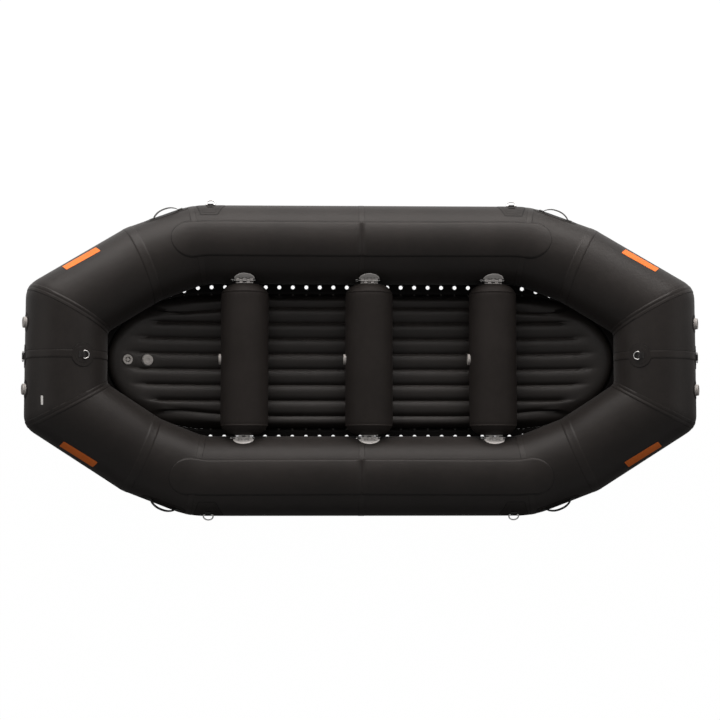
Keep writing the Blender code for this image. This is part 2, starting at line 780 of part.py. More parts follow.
def make_valves():
    for end, end_sign in ENDS.items():
        for side, side_sign in SIDES.items():
            place = end_facet(end_sign, side_sign * CHAMBER_VALVE_Y, CHAMBER_VALVE_FACETS_UP, 1)
            make_valve(f"chamber_{end}_{side}", place)
    make_valve("floor", floor_place(FLOOR_VALVE_X, FLOOR_VALVE_POCKET))
    base = GAP - RELIEF_SLOT_DEPTH
    profile = [
        (0, base + RELIEF_HEIGHT - RELIEF_SLOT_DEPTH / 2),
        (RELIEF_DOT_RADIUS, base + RELIEF_HEIGHT - RELIEF_SLOT_DEPTH / 2),
        (RELIEF_DOT_RADIUS, base + RELIEF_SLOT_DEPTH),
        (RELIEF_SLOT_RADIUS, base + RELIEF_SLOT_DEPTH),
        (RELIEF_SLOT_RADIUS, base + RELIEF_HEIGHT),
        (RELIEF_RADIUS, base + RELIEF_HEIGHT),
        (RELIEF_RADIUS, base),
        (0, base),
    ]
    relief = turned("floor_relief_valve", profile, VALVE_SIDES)
    add_object("floor_relief_valve", relief, "grey_plastic", floor_place(RELIEF_X, 0))


# Thwarts and their hinges


def thwart_places():
    names = ["bow_thwart", "middle_thwart", "stern_thwart"]
    first = THWART_SHIFT - THWART_SPACING * (THWART_COUNT - 1) / 2
    return [(name, first + THWART_SPACING * number) for number, name in enumerate(names)]


def pin_place(x, side_sign):
    """A frame on a side tube's inner facet: local Y up the tube, the pin above its origin."""
    angle = HINGE_FACETS_UP * FACET
    outward = Vector((0, -side_sign * math.cos(angle), math.sin(angle)))
    origin = Vector((x, side_sign * SIDE_Y, AXIS_Z)) + outward * APOTHEM
    return frame_at(origin, Vector((side_sign, 0, 0)), outward)


def box(name, low, high):
    bm = bmesh.new()
    bmesh.ops.create_cube(bm, size=1)
    for vertex in bm.verts:
        vertex.co = [a + (b - a) * (c + 1 / 2) for a, b, c in zip(low, high, vertex.co)]
    return as_mesh(name, bm)


def knuckle_spans(which):
    """Where the knuckles of one leaf start and stop along the pin."""
    first = -KNUCKLE_COUNT * KNUCKLE_LENGTH / 2
    spans = []
    for number in which:
        start = first + number * KNUCKLE_LENGTH
        spans.append((start + GAP, start + KNUCKLE_LENGTH - GAP))
    return spans


def pin_bore(place_pin):
    length = KNUCKLE_COUNT * KNUCKLE_LENGTH + 2 * OVERRUN
    bore = cylinder("pin_bore", PIN_RADIUS + PIN_CLEARANCE, length, KNUCKLE_SIDES)
    return bore, place_pin @ Matrix.Rotation(QUARTER, 4, "Y") @ Matrix.Translation((0, 0, -length / 2))


def make_tube_leaf(name, place):
    """A half-round leaf on the tube with three knuckles on arms, in the pin frame."""
    setback = KNUCKLE_RADIUS + LEAF_THICK / 2
    arc = arc_points(LEAF_RADIUS, 0, math.pi, LEAF_STEPS)
    outline = [(x, y * (LEAF_RADIUS - setback) / LEAF_RADIUS + setback) for x, y in arc]
    leaf = conformed(name, outline, place, LEAF_THICK)
    lay = Matrix.Rotation(QUARTER, 4, "Y")
    pieces = []
    for start, stop in knuckle_spans(range(0, KNUCKLE_COUNT, 2)):
        knuckle = cylinder(name + "_knuckle", KNUCKLE_RADIUS, stop - start, KNUCKLE_SIDES)
        pieces.append((knuckle, Matrix.Translation((start, 0, PIN_OFF_TUBE)) @ lay))
        low = (start + GAP, KNUCKLE_RADIUS * ARM_REACH_SHARE, 2 * GAP)
        high = (stop - GAP, setback + LEAF_THICK, PIN_OFF_TUBE)
        arm = box(name + "_arm", low, high)
        pieces.append((arm, Matrix()))
    leaf = combine(leaf, pieces, "UNION", name)
    leaf = combine(leaf, [pin_bore(Matrix.Translation((0, 0, PIN_OFF_TUBE)))], "DIFFERENCE", name)
    add_object(name, leaf, "grey_plastic", place)


def thwart_leaf_pieces(name, thwart_place, x, side_sign):
    """The leaf and knuckles on one end of a thwart, in the thwart's frame."""
    to_thwart = thwart_place.inverted()
    pin = pin_place(x, side_sign) @ Matrix.Translation((0, 0, PIN_OFF_TUBE))
    height = pin.translation.z
    face = side_sign * (THWART_HALF - THWART_LEAF_SINK)
    outline = arc_points(THWART_LEAF_RADIUS, math.pi, math.tau, LEAF_STEPS)
    plate = flat_outline(name + "_plate", [outline], THWART_LEAF_THICK)
    stand = Matrix.Translation((x, face + side_sign * THWART_LEAF_THICK / 2, height))
    pieces = [(plate, to_thwart @ stand @ Matrix.Rotation(QUARTER, 4, "X"))]
    lay = Matrix.Rotation(QUARTER, 4, "Y")
    for start, stop in knuckle_spans(range(1, KNUCKLE_COUNT, 2)):
        knuckle = cylinder(name + "_knuckle", KNUCKLE_RADIUS, stop - start, KNUCKLE_SIDES)
        shift = Matrix.Translation((x + start, pin.translation.y, height)) @ lay
        pieces.append((knuckle, to_thwart @ shift))
        reach = pin.translation.y - side_sign * KNUCKLE_RADIUS * ARM_REACH_SHARE
        near, far = sorted((face, reach))
        low = (x + start + GAP, near, height - ARM_THICK)
        arm = box(name + "_arm", low, (x + stop - GAP, far, height - GAP))
        pieces.append((arm, to_thwart))
    return pieces


def make_thwarts():
    for name, x in thwart_places():
        origin = Vector((x, 0, AXIS_Z + THWART_LIFT))
        place = frame_at(origin, Vector((1, 0, 0)), Vector((0, 1, 0)))
        round_radius = THWART_RADIUS - THWART_FLAT
        curve = arc_points(round_radius, QUARTER, 0, THWART_ROUND_STEPS)
        top = [(THWART_FLAT + r, THWART_HALF - round_radius + h) for r, h in curve]
        profile = [(0, THWART_HALF)] + top + [(r, -h) for r, h in reversed(top)] + [(0, -THWART_HALF)]
        body = turned(name, profile, THWART_SIDES, math.pi / THWART_SIDES)
        leaves = []
        for side_sign in SIDES.values():
            leaves += thwart_leaf_pieces(name, place, x, side_sign)
        body = combine(body, leaves, "UNION", name)
        cuts = []
        for side_sign in SIDES.values():
            pin = pin_place(x, side_sign) @ Matrix.Translation((0, 0, PIN_OFF_TUBE))
            bore, bore_place = pin_bore(pin)
            cuts.append((bore, place.inverted() @ bore_place))
        outward = Vector((-1, 0, 0))
        seat = THWART_RADIUS * math.cos(math.pi / THWART_SIDES) - THWART_VALVE_POCKET
        valve_place = frame_at(origin + outward * seat, Vector((0, 1, 0)), outward)
        cuts.append((valve_cutter(THWART_VALVE_POCKET), place.inverted() @ valve_place))
        body = combine(body, cuts, "DIFFERENCE", name)
        add_object(name, body, "coated_fabric", place)
        make_valve(name, valve_place)
        for side, side_sign in SIDES.items():
            make_tube_leaf(f"{name}_hinge_leaf_{side}", pin_place(x, side_sign))
            make_rod(f"{name}_hinge_rod_{side}", x, side_sign)


def make_rod(name, x, side_sign):
    """A straight pin rod with a pull eye on its bow end."""
    pin = pin_place(x, side_sign) @ Matrix.Translation((0, 0, PIN_OFF_TUBE))
    length = KNUCKLE_COUNT * KNUCKLE_LENGTH + 2 * ROD_TAIL
    rod = cylinder(name, PIN_RADIUS, length, KNUCKLE_SIDES)
    ring = arc_points(ROD_EYE_RADIUS, 0, math.tau, ROD_EYE_STEPS)[:-1]
    eye = wire(name + "_eye", [(a, 0, b) for a, b in ring], ROD_EYE_WIRE, True)
    eye_shift = Matrix.Translation((0, 0, -ROD_EYE_RADIUS))
    body = combine(rod, [(eye, eye_shift)], "UNION", name)
    start = Matrix.Translation((pin.translation.x - length / 2, pin.translation.y, pin.translation.z))
    up_tube = (pin.to_3x3() @ Vector((0, 1, 0))).normalized()
    place = start @ frame_at(Vector((0, 0, 0)), up_tube, Vector((1, 0, 0)))
    add_object(name, body, "bright_steel", place)


# D-rings, their webbing loops and patches


def make_ring(name, place, droop):
    """A D-ring that swings about its bar, which lies along local X."""
    width, corner = RING_HALF_WIDTH, RING_STRAIGHT / 2
    path = [(-width + corner, 0), (width - corner, 0), (width, corner)]
    path += [(x, y + RING_STRAIGHT) for x, y in arc_points(width, 0, math.pi, RING_STEPS)]
    path += [(-width, corner)]
    ring = wire(name, [(x, 0, y) for x, y in path], RING_WIRE, True)
    down = -1 if (place.to_3x3() @ Vector((0, 1, 0))).z > 0 else 1
    angle = -down * math.radians(droop)
    bar = place @ Matrix.Translation((0, 0, RING_LIFT)) @ Matrix.Rotation(angle, 4, "X")
    add_object(name, ring, "bright_steel", bar)


def loop_piece(name):
    """The webbing round a ring's bar: a block with a round top and a hole, along local X."""
    skin_radius = RING_WIRE + LOOP_CLEARANCE + LOOP_SKIN
    top = arc_points(skin_radius, 0, math.pi, LOOP_STEPS)
    outline = [(skin_radius, -RING_LIFT + 2 * GAP)] + top + [(-skin_radius, -RING_LIFT + 2 * GAP)]
    hole = arc_points(RING_WIRE + LOOP_CLEARANCE, 0, math.tau, 2 * LOOP_STEPS)[:-1]
    block = flat_outline(name, [outline, hole], 2 * LOOP_HALF_WIDTH)
    stand = Matrix.Rotation(QUARTER, 4, "Z") @ Matrix.Rotation(QUARTER, 4, "X")
    return block, Matrix.Translation((0, 0, RING_LIFT)) @ stand


def make_side_rings():
    for end, end_sign in ENDS.items():
        for side, side_sign in SIDES.items():
            place = side_facet(end_sign * SIDE_RING_X, side_sign, SIDE_RING_FACETS_UP, 1)
            name = f"{end}_{side}_d_ring"
            make_ring(name, place, SIDE_RING_DROOP)
            up = 1 if (place.to_3x3() @ Vector((0, 1, 0))).z > 0 else -1
            low, high = -SIDE_PATCH_DOWN * up, SIDE_PATCH_UP * up
            base, crown = SIDE_PATCH_BASE_HALF, SIDE_PATCH_TOP_HALF
            outline = [(-base, low), (base, low), (base, 0), (crown, high), (-crown, high), (-base, 0)]
            patch = conformed(f"{name}_patch", outline, place, PATCH_THICK)
            patch = combine(patch, [loop_piece(name + "_loop")], "UNION", f"{name}_patch")
            add_object(f"{name}_patch", patch, "webbing", place)


def make_end_tape(end, end_sign):
    """The centre tape of one end with two round patches and the loops of two rings."""
    name = f"{end}_centre_tape"
    inner = TUBE_RADIUS + GAP / math.cos(HALF_FACET)
    outer = inner + PATCH_THICK / math.cos(HALF_FACET)
    half = END_TAPE_WIDTH / 2
    profile = [(inner, half), (outer, half), (outer, -half), (inner, -half), (inner, half)]
    middle = Vector((end_sign * END_X, 0, AXIS_Z + END_RISE))
    place = frame_at(middle, Vector((1, 0, 0)), Vector((0, 1, 0)))
    tape = turned(name, profile, TUBE_SIDES, HALF_FACET)
    reach = TUBE_RADIUS + OVERRUN
    keep = box(name + "_keep", (-reach, -reach, -half - OVERRUN), (reach, 0, half + OVERRUN))
    tape = combine(tape, [(keep, Matrix())], "INTERSECT", name)
    disc = arc_points(END_PATCH_RADIUS, 0, math.tau, PATCH_STEPS)[:-1]
    pieces = []
    seats = [
        (f"{end}_outer_d_ring", end_facet(end_sign, 0, END_OUTER_FACETS_UP, 1), END_OUTER_DROOP),
        (f"{end}_top_d_ring", end_facet(end_sign, 0, END_TOP_FACETS_UP, -1), END_TOP_DROOP),
    ]
    for ring_name, seat, droop in seats:
        make_ring(ring_name, seat, droop)
        patch = conformed(ring_name + "_patch", disc, seat, PATCH_THICK + GAP)
        pieces.append((patch, place.inverted() @ seat))
        block, block_place = loop_piece(ring_name + "_loop")
        pieces.append((block, place.inverted() @ seat @ block_place))
    add_object(name, combine(tape, pieces, "UNION", name), "webbing", place)


def make_handles():
    """Webbing grips that stand out from the shoulders, sewn down at both feet."""
    thick = HANDLE_THICK
    stations = [-1 + 2 * step / HANDLE_STEPS for step in range(HANDLE_STEPS + 1)]
    arch = [(share * HANDLE_HALF, HANDLE_BULGE * (1 - share**2)) for share in stations]
    ends = HANDLE_HALF + HANDLE_FOOT
    lower = [(-ends, GAP)] + [(x, GAP + z) for x, z in arch] + [(ends, GAP)]
    upper = [(ends, GAP + thick)] + [(x, GAP + thick + z) for x, z in reversed(arch)] + [(-ends, GAP + thick)]
    for end, end_sign in ENDS.items():
        for side, side_sign in SIDES.items():
            path = ring_path(end_sign, side_sign)
            length = (path[2] - path[1]).length
            outboard = Vector((end_sign, side_sign, 0))
            distance = length * HANDLE_PLACE_SHARE
            place = tube_place(path[1], path[2], distance, HANDLE_FACETS_UP, outboard)
            name = f"{end}_{side}_carry_handle"
            strap = flat_outline(name, [lower + upper], HANDLE_WIDTH)
            add_object(name, strap, "webbing", place @ Matrix.Rotation(QUARTER, 4, "X"))


make_chambers()
make_bulkheads()
make_floor()
make_skirt()
make_valves()
make_thwarts()
make_side_rings()
for end_name, end_side in ENDS.items():
    make_end_tape(end_name, end_side)
make_handles()
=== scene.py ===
import math

import bmesh
import bpy
import numpy as np
from mathutils import Matrix, Vector


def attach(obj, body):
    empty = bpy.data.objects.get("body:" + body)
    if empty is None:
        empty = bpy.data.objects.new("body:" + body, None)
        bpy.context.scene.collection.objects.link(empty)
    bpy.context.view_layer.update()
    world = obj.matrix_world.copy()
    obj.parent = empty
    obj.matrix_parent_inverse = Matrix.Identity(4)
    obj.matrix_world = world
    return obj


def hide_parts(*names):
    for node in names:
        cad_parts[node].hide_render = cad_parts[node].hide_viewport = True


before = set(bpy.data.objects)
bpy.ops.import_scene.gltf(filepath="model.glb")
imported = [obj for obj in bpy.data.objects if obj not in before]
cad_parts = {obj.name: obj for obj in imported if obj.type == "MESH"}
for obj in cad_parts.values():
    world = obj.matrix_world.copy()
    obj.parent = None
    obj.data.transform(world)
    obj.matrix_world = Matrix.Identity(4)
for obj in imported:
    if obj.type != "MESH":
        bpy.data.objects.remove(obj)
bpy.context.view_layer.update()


# The photograph's camera: high above the raft, a little towards its bow and its port side,
# and looking almost straight down with starboard at the top of the picture.
def linked(name, data):
    """A new object in the scene."""
    made = bpy.data.objects.new(name, data)
    bpy.context.scene.collection.objects.link(made)
    return made


camera_place = Vector((-0.237, -0.662, 9.342))
camera_look = Vector((0.0253, 0.0726, -0.9970)).normalized()
camera_lens = 70.735
camera_right = camera_look.cross(Vector((0, 1, 0))).normalized()
camera_up = camera_right.cross(camera_look)
lens = bpy.data.cameras.new("camera")
lens.lens = camera_lens
lens.sensor_width = 36
lens.clip_end = 60
camera = linked("camera", lens)
turned_axes = Matrix((camera_right, camera_up, -camera_look)).transposed().to_4x4()
camera.matrix_world = Matrix.Translation(camera_place) @ turned_axes
bpy.context.scene.camera = camera
bpy.context.scene.view_settings.view_transform = "Standard"


# Shader maths as plain expressions: a Wire is one output of a material's node tree, and a Paint
# is a material that is being mixed.
class Wire:
    def __init__(self, paint, socket):
        self.paint, self.socket = paint, socket

    def maths(self, operation, *values):
        return self.paint.node("Math", {"operation": operation}, dict(enumerate(values)))

    def __add__(self, other):
        return self.maths("ADD", self, other)

    def __sub__(self, other):
        return self.maths("SUBTRACT", self, other)

    def __mul__(self, other):
        return self.maths("MULTIPLY", self, other)

    __radd__, __rmul__ = __add__, __mul__


class Paint:
    def __init__(self, name, **plain):
        self.material = bpy.data.materials.new(name)
        self.material.use_nodes = True
        self.tree = self.material.node_tree
        self.shader = self.tree.nodes["Principled BSDF"]
        for key, value in plain.items():
            self.shader.inputs[key.replace("_", " ")].default_value = value

    def feed(self, socket, value):
        if isinstance(value, Wire):
            self.tree.links.new(value.socket, socket)
        elif isinstance(value, tuple) and len(value) == 3 and socket.type == "RGBA":
            socket.default_value = (*value, 1)
        else:
            socket.default_value = value

    def node(self, kind, settings, inputs, output=0):
        """One node of the given type; its settings are made first, then its sockets are fed."""
        made = self.tree.nodes.new("ShaderNode" + kind)
        for key, value in settings.items():
            if key == "stops":
                ramp = made.color_ramp
                while len(ramp.elements) < len(value):
                    ramp.elements.new(0.5)
                for element, (place, colour) in zip(ramp.elements, value):
                    element.position, element.color = place, (*colour, 1)
            else:
                setattr(made, key, value)
        for key, value in inputs.items():
            self.feed(made.inputs[key], value)
        return Wire(self, made.outputs[output])

    def mix(self, share, first, second):
        return self.node("Mix", {"data_type": "RGBA"}, {0: share, 6: first, 7: second}, 2)

    def noise(self, place, scale, detail=3, rough=0.55):
        sockets = {"Vector": place, "Scale": scale, "Detail": detail, "Roughness": rough}
        return self.node("TexNoise", {}, sockets)

    def steps(self, share, low, high):
        """0 below low, 1 above high, and even between them."""
        return self.node("MapRange", {"interpolation_type": "SMOOTHSTEP"}, {0: share, 1: low, 2: high})

    def bands(self, place, scale, direction):
        settings = {"wave_type": "BANDS", "bands_direction": direction, "wave_profile": "SIN"}
        return self.node("TexWave", settings, {"Vector": place, "Scale": scale, "Distortion": 0.0}, 1)

    def stretched(self, place, scale):
        return self.node("VectorMath", {"operation": "MULTIPLY"}, {0: place, 1: scale})

    def finish(self, colour, roughness, height=None, depth=0.0005):
        self.feed(self.shader.inputs["Base Color"], colour)
        self.feed(self.shader.inputs["Roughness"], roughness)
        if height is not None:
            bump = self.node("Bump", {}, {"Height": height, "Distance": depth, "Strength": 1.0})
            self.feed(self.shader.inputs["Normal"], bump)
        return self.material


# The studio: a plain floor and backdrop that read as white behind the raft and through its drain
# holes, the floor painted paler on the starboard side as painted light, which the tubes show as a painted
# reflection, with large soft lamps there and two weak ones to fill.
def studio_white(tree, shade, surface, glow_type, gloss):
    """Shows white to the camera and in reflections, in place of what lights the raft."""
    path = tree.nodes.new("ShaderNodeLightPath")
    seen = None
    for ray, weight in (("Is Camera Ray", 1.0), ("Is Transmission Ray", 1.0), ("Is Glossy Ray", gloss)):
        weighed = tree.nodes.new("ShaderNodeMath")
        weighed.operation = "MULTIPLY"
        if isinstance(weight, Wire):
            tree.links.new(weight.socket, weighed.inputs[1])
        else:
            weighed.inputs[1].default_value = shade * weight
        tree.links.new(path.outputs[ray], weighed.inputs[0])
        if seen is None:
            seen = weighed.outputs[0]
            continue
        either = tree.nodes.new("ShaderNodeMath")
        either.operation = "MAXIMUM"
        tree.links.new(seen, either.inputs[0])
        tree.links.new(weighed.outputs[0], either.inputs[1])
        seen = either.outputs[0]
    mixed = tree.nodes.new("ShaderNodeMixShader")
    glow = tree.nodes.new(glow_type)
    glow.inputs[0].default_value = (1, 1, 1, 1)
    glow.inputs[1].default_value = 1.07
    tree.links.new(seen, mixed.inputs[0])
    tree.links.new(surface, mixed.inputs[1])
    tree.links.new(glow.outputs[0], mixed.inputs[2])
    return mixed.outputs[0]


studio = bpy.data.worlds.new("studio")
bpy.context.scene.world = studio
studio.use_nodes = True
sky = studio.node_tree.nodes["Background"]
sky.inputs[0].default_value = (1, 1, 1, 1)
sky.inputs[1].default_value = 0.16
studio.node_tree.links.new(
    studio_white(studio.node_tree, 1.0, sky.outputs[0], "ShaderNodeBackground", 0.4),
    studio.node_tree.nodes["World Output"].inputs[0],
)
ground = bpy.data.meshes.new("studio_floor")
reach = 14.0
square = [(-reach, -reach, 0), (reach, -reach, 0), (reach, reach, 0), (-reach, reach, 0)]
ground.from_pydata(square, [], [(0, 1, 2, 3)])
studio_floor = linked("studio_floor", ground)
floor_paint = Paint("studio_floor", Specular_IOR_Level=0.1)
floor_place = floor_paint.node("TexCoord", {}, {}, "Object")
# painted light: the floor's colour runs from dark grey on the port side to pale grey on the starboard side, with a
# little random tone
starboard_painted_light = floor_paint.steps(floor_paint.node("SeparateXYZ", {}, {0: floor_place}, 1), -0.4, 1.8)
floor_tone_with_painted_light = starboard_painted_light * 0.9 + floor_paint.noise(floor_place, 3.0) * 0.1
floor_white = floor_paint.finish(floor_paint.mix(floor_tone_with_painted_light, (0.08, 0.08, 0.08), (0.36, 0.36, 0.36)), 0.85)
ground.materials.append(floor_white)
tree = floor_white.node_tree
# painted reflection: glossy rays see the floor white on the starboard side and its dark grey on the port side
surface, floor_painted_reflection = tree.nodes["Principled BSDF"].outputs[0], starboard_painted_light * 0.85 + 0.01
tree.links.new(
    studio_white(tree, 0.93, surface, "ShaderNodeEmission", floor_painted_reflection),
    tree.nodes["Material Output"].inputs[0],
)
lamps = [
    ("key_lamp", (0.0, 5.8, 2.2), (8.5, 4.0), 720.0),
    ("high_lamp", (0.0, 3.4, 5.4), (6.0, 2.2), 56.0),
    ("bow_lamp", (-6.0, 0.5, 3.6), (3.0, 3.0), 36.0),
    ("stern_lamp", (6.0, 0.5, 3.6), (3.0, 3.0), 36.0),
]
for lamp_name, lamp_place, lamp_size, lamp_power in lamps:
    lamp = bpy.data.lights.new(lamp_name, "AREA")
    lamp.shape = "RECTANGLE"
    lamp.size, lamp.size_y = lamp_size
    lamp.energy = lamp_power
    lamp.color = (1.0, 0.96, 0.93)
    hung = linked(lamp_name, lamp)
    hung.location = lamp_place
    hung.rotation_euler = (Vector((0, 0, 0.2)) - Vector(lamp_place)).to_track_quat("-Z", "Y").to_euler()


# The four air chambers: welded panels of coated fabric, blown up hard into round tubes that meet
# in mitred joints under glued tapes. The ring rises at both ends.
tube_radius = 0.254
tube_axis_z = tube_radius * math.cos(math.pi / 32)
side_y, shoulder_x = 0.745, 1.055
bend_x, bend_y, bend_rise = 1.400, 0.607, 0.060
end_x, corner_y, end_rise = 1.851, 0.300, 0.213
joint_tapes = {0: (0.017, 0.017), 1: (0.016, 0.020), 2: (0.026, 0.030), 3: (0.020, 0.020), 4: (0.018, 0.018)}
tape_thick, tape_edge = 0.0010, 0.0012
joint_rounds = {1: (0.080, 0.030), 2: (0.024, 0.008), 3: (0.050, 0.028)}
joint_reach, corner_reach_swing = 0.085, 0.030
bend_tape_shift, bend_tape_swing = 0.006, 0.016
fibre_count, joint_steps = 96, 12
ends = {"bow": -1, "stern": 1}
sides = {"starboard": 1, "port": -1}


def coated_fabric(name, dark, light, gloss, specular=0.16, sheen=0.0):
    """Rubber-coated cloth: the yarns show faintly under the coat, with handling marks on top."""
    paint = Paint(name, Specular_IOR_Level=specular, Sheen_Weight=sheen, Sheen_Roughness=0.4)
    place = paint.node("TexCoord", {}, {}, "Object")
    laid = paint.node("TexCoord", {}, {}, "UV")
    weave = 250.0
    yarns = paint.bands(laid, weave, "X") * paint.bands(laid, weave, "Y")
    grain = paint.noise(place, 420.0, 2)
    cloud = paint.noise(place, 2.6, 4, 0.6)
    smudge = paint.noise(place, 17.0, 5, 0.7)
    scuffs = paint.steps(paint.noise(paint.stretched(place, (9.0, 60.0, 60.0)), 2.0, 6, 0.75), 0.64, 0.78)
    swell = paint.noise(place, 9.0, 2)
    tone = paint.mix(paint.steps(cloud * 0.7 + smudge * 0.3, 0.35, 0.65), dark, light)
    worn = tuple(min(1.0, channel * 1.6 + 0.006) for channel in light)
    colour = paint.mix(scuffs * 0.22, tone, worn)
    rough = gloss + (smudge - 0.5) * 0.14 + scuffs * 0.10 + (grain - 0.5) * 0.05
    height = yarns * 0.10 + grain * 0.12 + swell * 2.4
    return paint.finish(colour, rough, height, 0.0006)


tube_fabric = coated_fabric("tube_fabric", (0.0135, 0.0112, 0.0102), (0.0185, 0.0155, 0.0142), 0.47, sheen=0.10)
tape_fabric = coated_fabric("tape_fabric", (0.0150, 0.0126, 0.0115), (0.0205, 0.0172, 0.0158), 0.43, sheen=0.10)
cement_line = coated_fabric("cement_line", (0.0050, 0.0042, 0.0038), (0.0080, 0.0066, 0.0060), 0.60)


def skin(name, rows, wrap=False, capped=False):
    """A mesh through rows of points, with a UV map in metres along and across them."""
    count, total = len(rows[0]), len(rows)
    points = np.array([[tuple(p) for p in row] for row in rows], float)
    along = np.zeros(total)
    along[1:] = np.cumsum(np.linalg.norm(np.diff(points, axis=0), axis=2).mean(axis=1))
    ring = np.concatenate([points, points[:, :1]], axis=1) if wrap else points
    around = np.zeros(ring.shape[1])
    around[1:] = np.cumsum(np.linalg.norm(np.diff(ring, axis=1), axis=2).mean(axis=0))
    faces, uvs = [], []
    for r in range(total - 1):
        for c in range(count if wrap else count - 1):
            d = (c + 1) % count
            faces.append((r * count + c, r * count + d, (r + 1) * count + d, (r + 1) * count + c))
            uvs += [(along[a], around[b]) for a, b in ((r, c), (r, c + 1), (r + 1, c + 1), (r + 1, c))]
    if capped:
        for ends_row in (list(range(count - 1, -1, -1)), list(range((total - 1) * count, total * count))):
            faces.append(ends_row)
            uvs += [(points[i // count, i % count, 0], points[i // count, i % count, 2]) for i in ends_row]
    mesh = bpy.data.meshes.new(name)
    mesh.from_pydata(points.reshape(-1, 3).tolist(), [], faces)
    layer = mesh.uv_layers.new(name="UVMap")
    layer.data.foreach_set("uv", np.array(uvs, np.float32).ravel())
    return mesh


def tidy_mesh(mesh, weld=0.00001):
    """Welds coincident points and turns every face outward."""
    bm = bmesh.new()
    bm.from_mesh(mesh)
    bmesh.ops.remove_doubles(bm, verts=bm.verts, dist=weld)
    bmesh.ops.dissolve_degenerate(bm, edges=bm.edges, dist=weld)
    bmesh.ops.recalc_face_normals(bm, faces=bm.faces)
    bm.to_mesh(mesh)
    bm.free()
    return mesh


def joined_mesh(name, parts):
    """One mesh from several, each with its own placing."""
    bm = bmesh.new()
    for part, place in parts:
        moved = part.copy()
        moved.transform(place)
        bm.from_mesh(moved)
    mesh = bpy.data.meshes.new(name)
    bm.to_mesh(mesh)
    bm.free()
    return mesh


def put(name, mesh, material, slot, body="raft", stands_for=(), sharp=40):
    """Makes a piece of the raft from a mesh in the raft's own frame, and rides it on a body."""
    mesh.name = name
    if not mesh.materials:
        mesh.materials.append(material)
    mesh.shade_smooth()
    mesh.set_sharp_from_angle(angle=math.radians(sharp))
    piece = linked(name, mesh)
    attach(piece, body)
    if stands_for:
        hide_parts(*stands_for)
    return piece


def square_axes(along, out):
    """A turn whose local X runs along and whose local Z points out."""
    return Matrix((along, out.cross(along), out)).transposed().to_4x4()


class Quarter:
    """One chamber's centreline, from the middle of a side to the middle of an end."""

    def __init__(self, end_sign, side_sign):
        self.outboard = Vector((end_sign, side_sign, 0))
        joints = [(0, side_y, 0), (shoulder_x, side_y, 0), (bend_x, bend_y, bend_rise)]
        joints += [(end_x, corner_y, end_rise), (end_x, 0, end_rise)]
        self.path = [Vector((end_sign * x, side_sign * y, tube_axis_z + rise)) for x, y, rise in joints]
        self.legs = [(b - a).normalized() for a, b in zip(self.path, self.path[1:])]
        self.fibres = {}

    def radial(self, leg, angle):
        """Straight out of the tube on one leg, at an angle up from its outboard side."""
        along = self.legs[leg]
        level = Vector((along.y, -along.x, 0)).normalized()
        if level.dot(self.outboard) < 0:
            level = -level
        upright = along.cross(level)
        if upright.z < 0:
            upright = -upright
        return level * math.cos(angle) + upright * math.sin(angle)

    def on_leg(self, leg, distance, angle, height=0.0):
        return self.path[leg] + self.legs[leg] * distance + self.radial(leg, angle) * (tube_radius + height)

    def frame_on(self, leg, distance, angle, height=0.0):
        """Local X along the tube towards +X or +Y, local Z straight out of it."""
        along, out = self.legs[leg].copy(), self.radial(leg, angle)
        if along.x < -0.001 or abs(along.x) < 0.001 and along.y < 0:
            along = -along
        return Matrix.Translation(self.on_leg(leg, distance, angle, height)) @ square_axes(along, out)

    def fibre(self, angle):
        """A lengthwise line of the fabric: points, outward directions, lengths and joint marks."""
        key = round(angle, 5)
        if key in self.fibres:
            return self.fibres[key]
        radials = [self.radial(leg, angle) for leg in range(len(self.legs))]
        corners = []
        for number, point in enumerate(self.path):
            touching = [leg for leg in (number - 1, number) if 0 <= leg < len(self.legs)]
            plane = sum((self.legs[leg] for leg in touching), Vector()).normalized()
            found = Vector()
            for leg in touching:
                offset = radials[leg] * tube_radius
                offset = offset - self.legs[leg] * offset.dot(plane) / self.legs[leg].dot(plane)
                found += (point + offset) / len(touching)
            corners.append(found)
        points, normals, marks = [corners[0]], [radials[0]], [0]
        for number in range(1, len(self.path) - 1):
            reach_here = joint_rounds[number][0] + joint_rounds[number][1] * math.cos(angle)
            before = (corners[number - 1] - corners[number]).normalized() * reach_here
            after = (corners[number + 1] - corners[number]).normalized() * reach_here
            for step in range(joint_steps + 1):
                t = step / joint_steps
                points.append(corners[number] + before * (1 - t) ** 2 + after * t * t)
                blend = radials[number - 1] * (1 - t) + radials[number] * t
                normals.append(blend.normalized())
                if step == joint_steps // 2:
                    marks.append(len(points) - 1)
        points.append(corners[-1])
        normals.append(radials[-1])
        marks.append(len(points) - 1)
        co = np.array([tuple(p) for p in points])
        run = np.concatenate([[0], np.cumsum(np.linalg.norm(np.diff(co, axis=0), axis=1))])
        leads = [
            (corner - point).dot(self.legs[min(k, len(self.legs) - 1)])
            for k, (corner, point) in enumerate(zip(corners, self.path))
        ]
        self.fibres[key] = (co, np.array([tuple(n) for n in normals]), run, run[marks], leads)
        return self.fibres[key]

    def on_fibre(self, angle, distance, height=0.0):
        co, normals, run, marks, leads = self.fibre(angle)
        point = np.array([np.interp(distance, run, co[:, k]) for k in range(3)])
        normal = np.array([np.interp(distance, run, normals[:, k]) for k in range(3)])
        return Vector(point) + Vector(normal).normalized() * height

    def mark(self, angle, joint):
        return self.fibre(angle)[3][joint]

    def at(self, leg, distance, angle, height=0.0):
        """A point of the skin, given as a distance along one leg from the joint that starts it."""
        co, normals, run, marks, leads = self.fibre(angle)
        return self.on_fibre(angle, marks[leg] + distance - leads[leg], height)


quarters = {
    (end, side): Quarter(end_sign, side_sign)
    for end, end_sign in ends.items() for side, side_sign in sides.items()
}


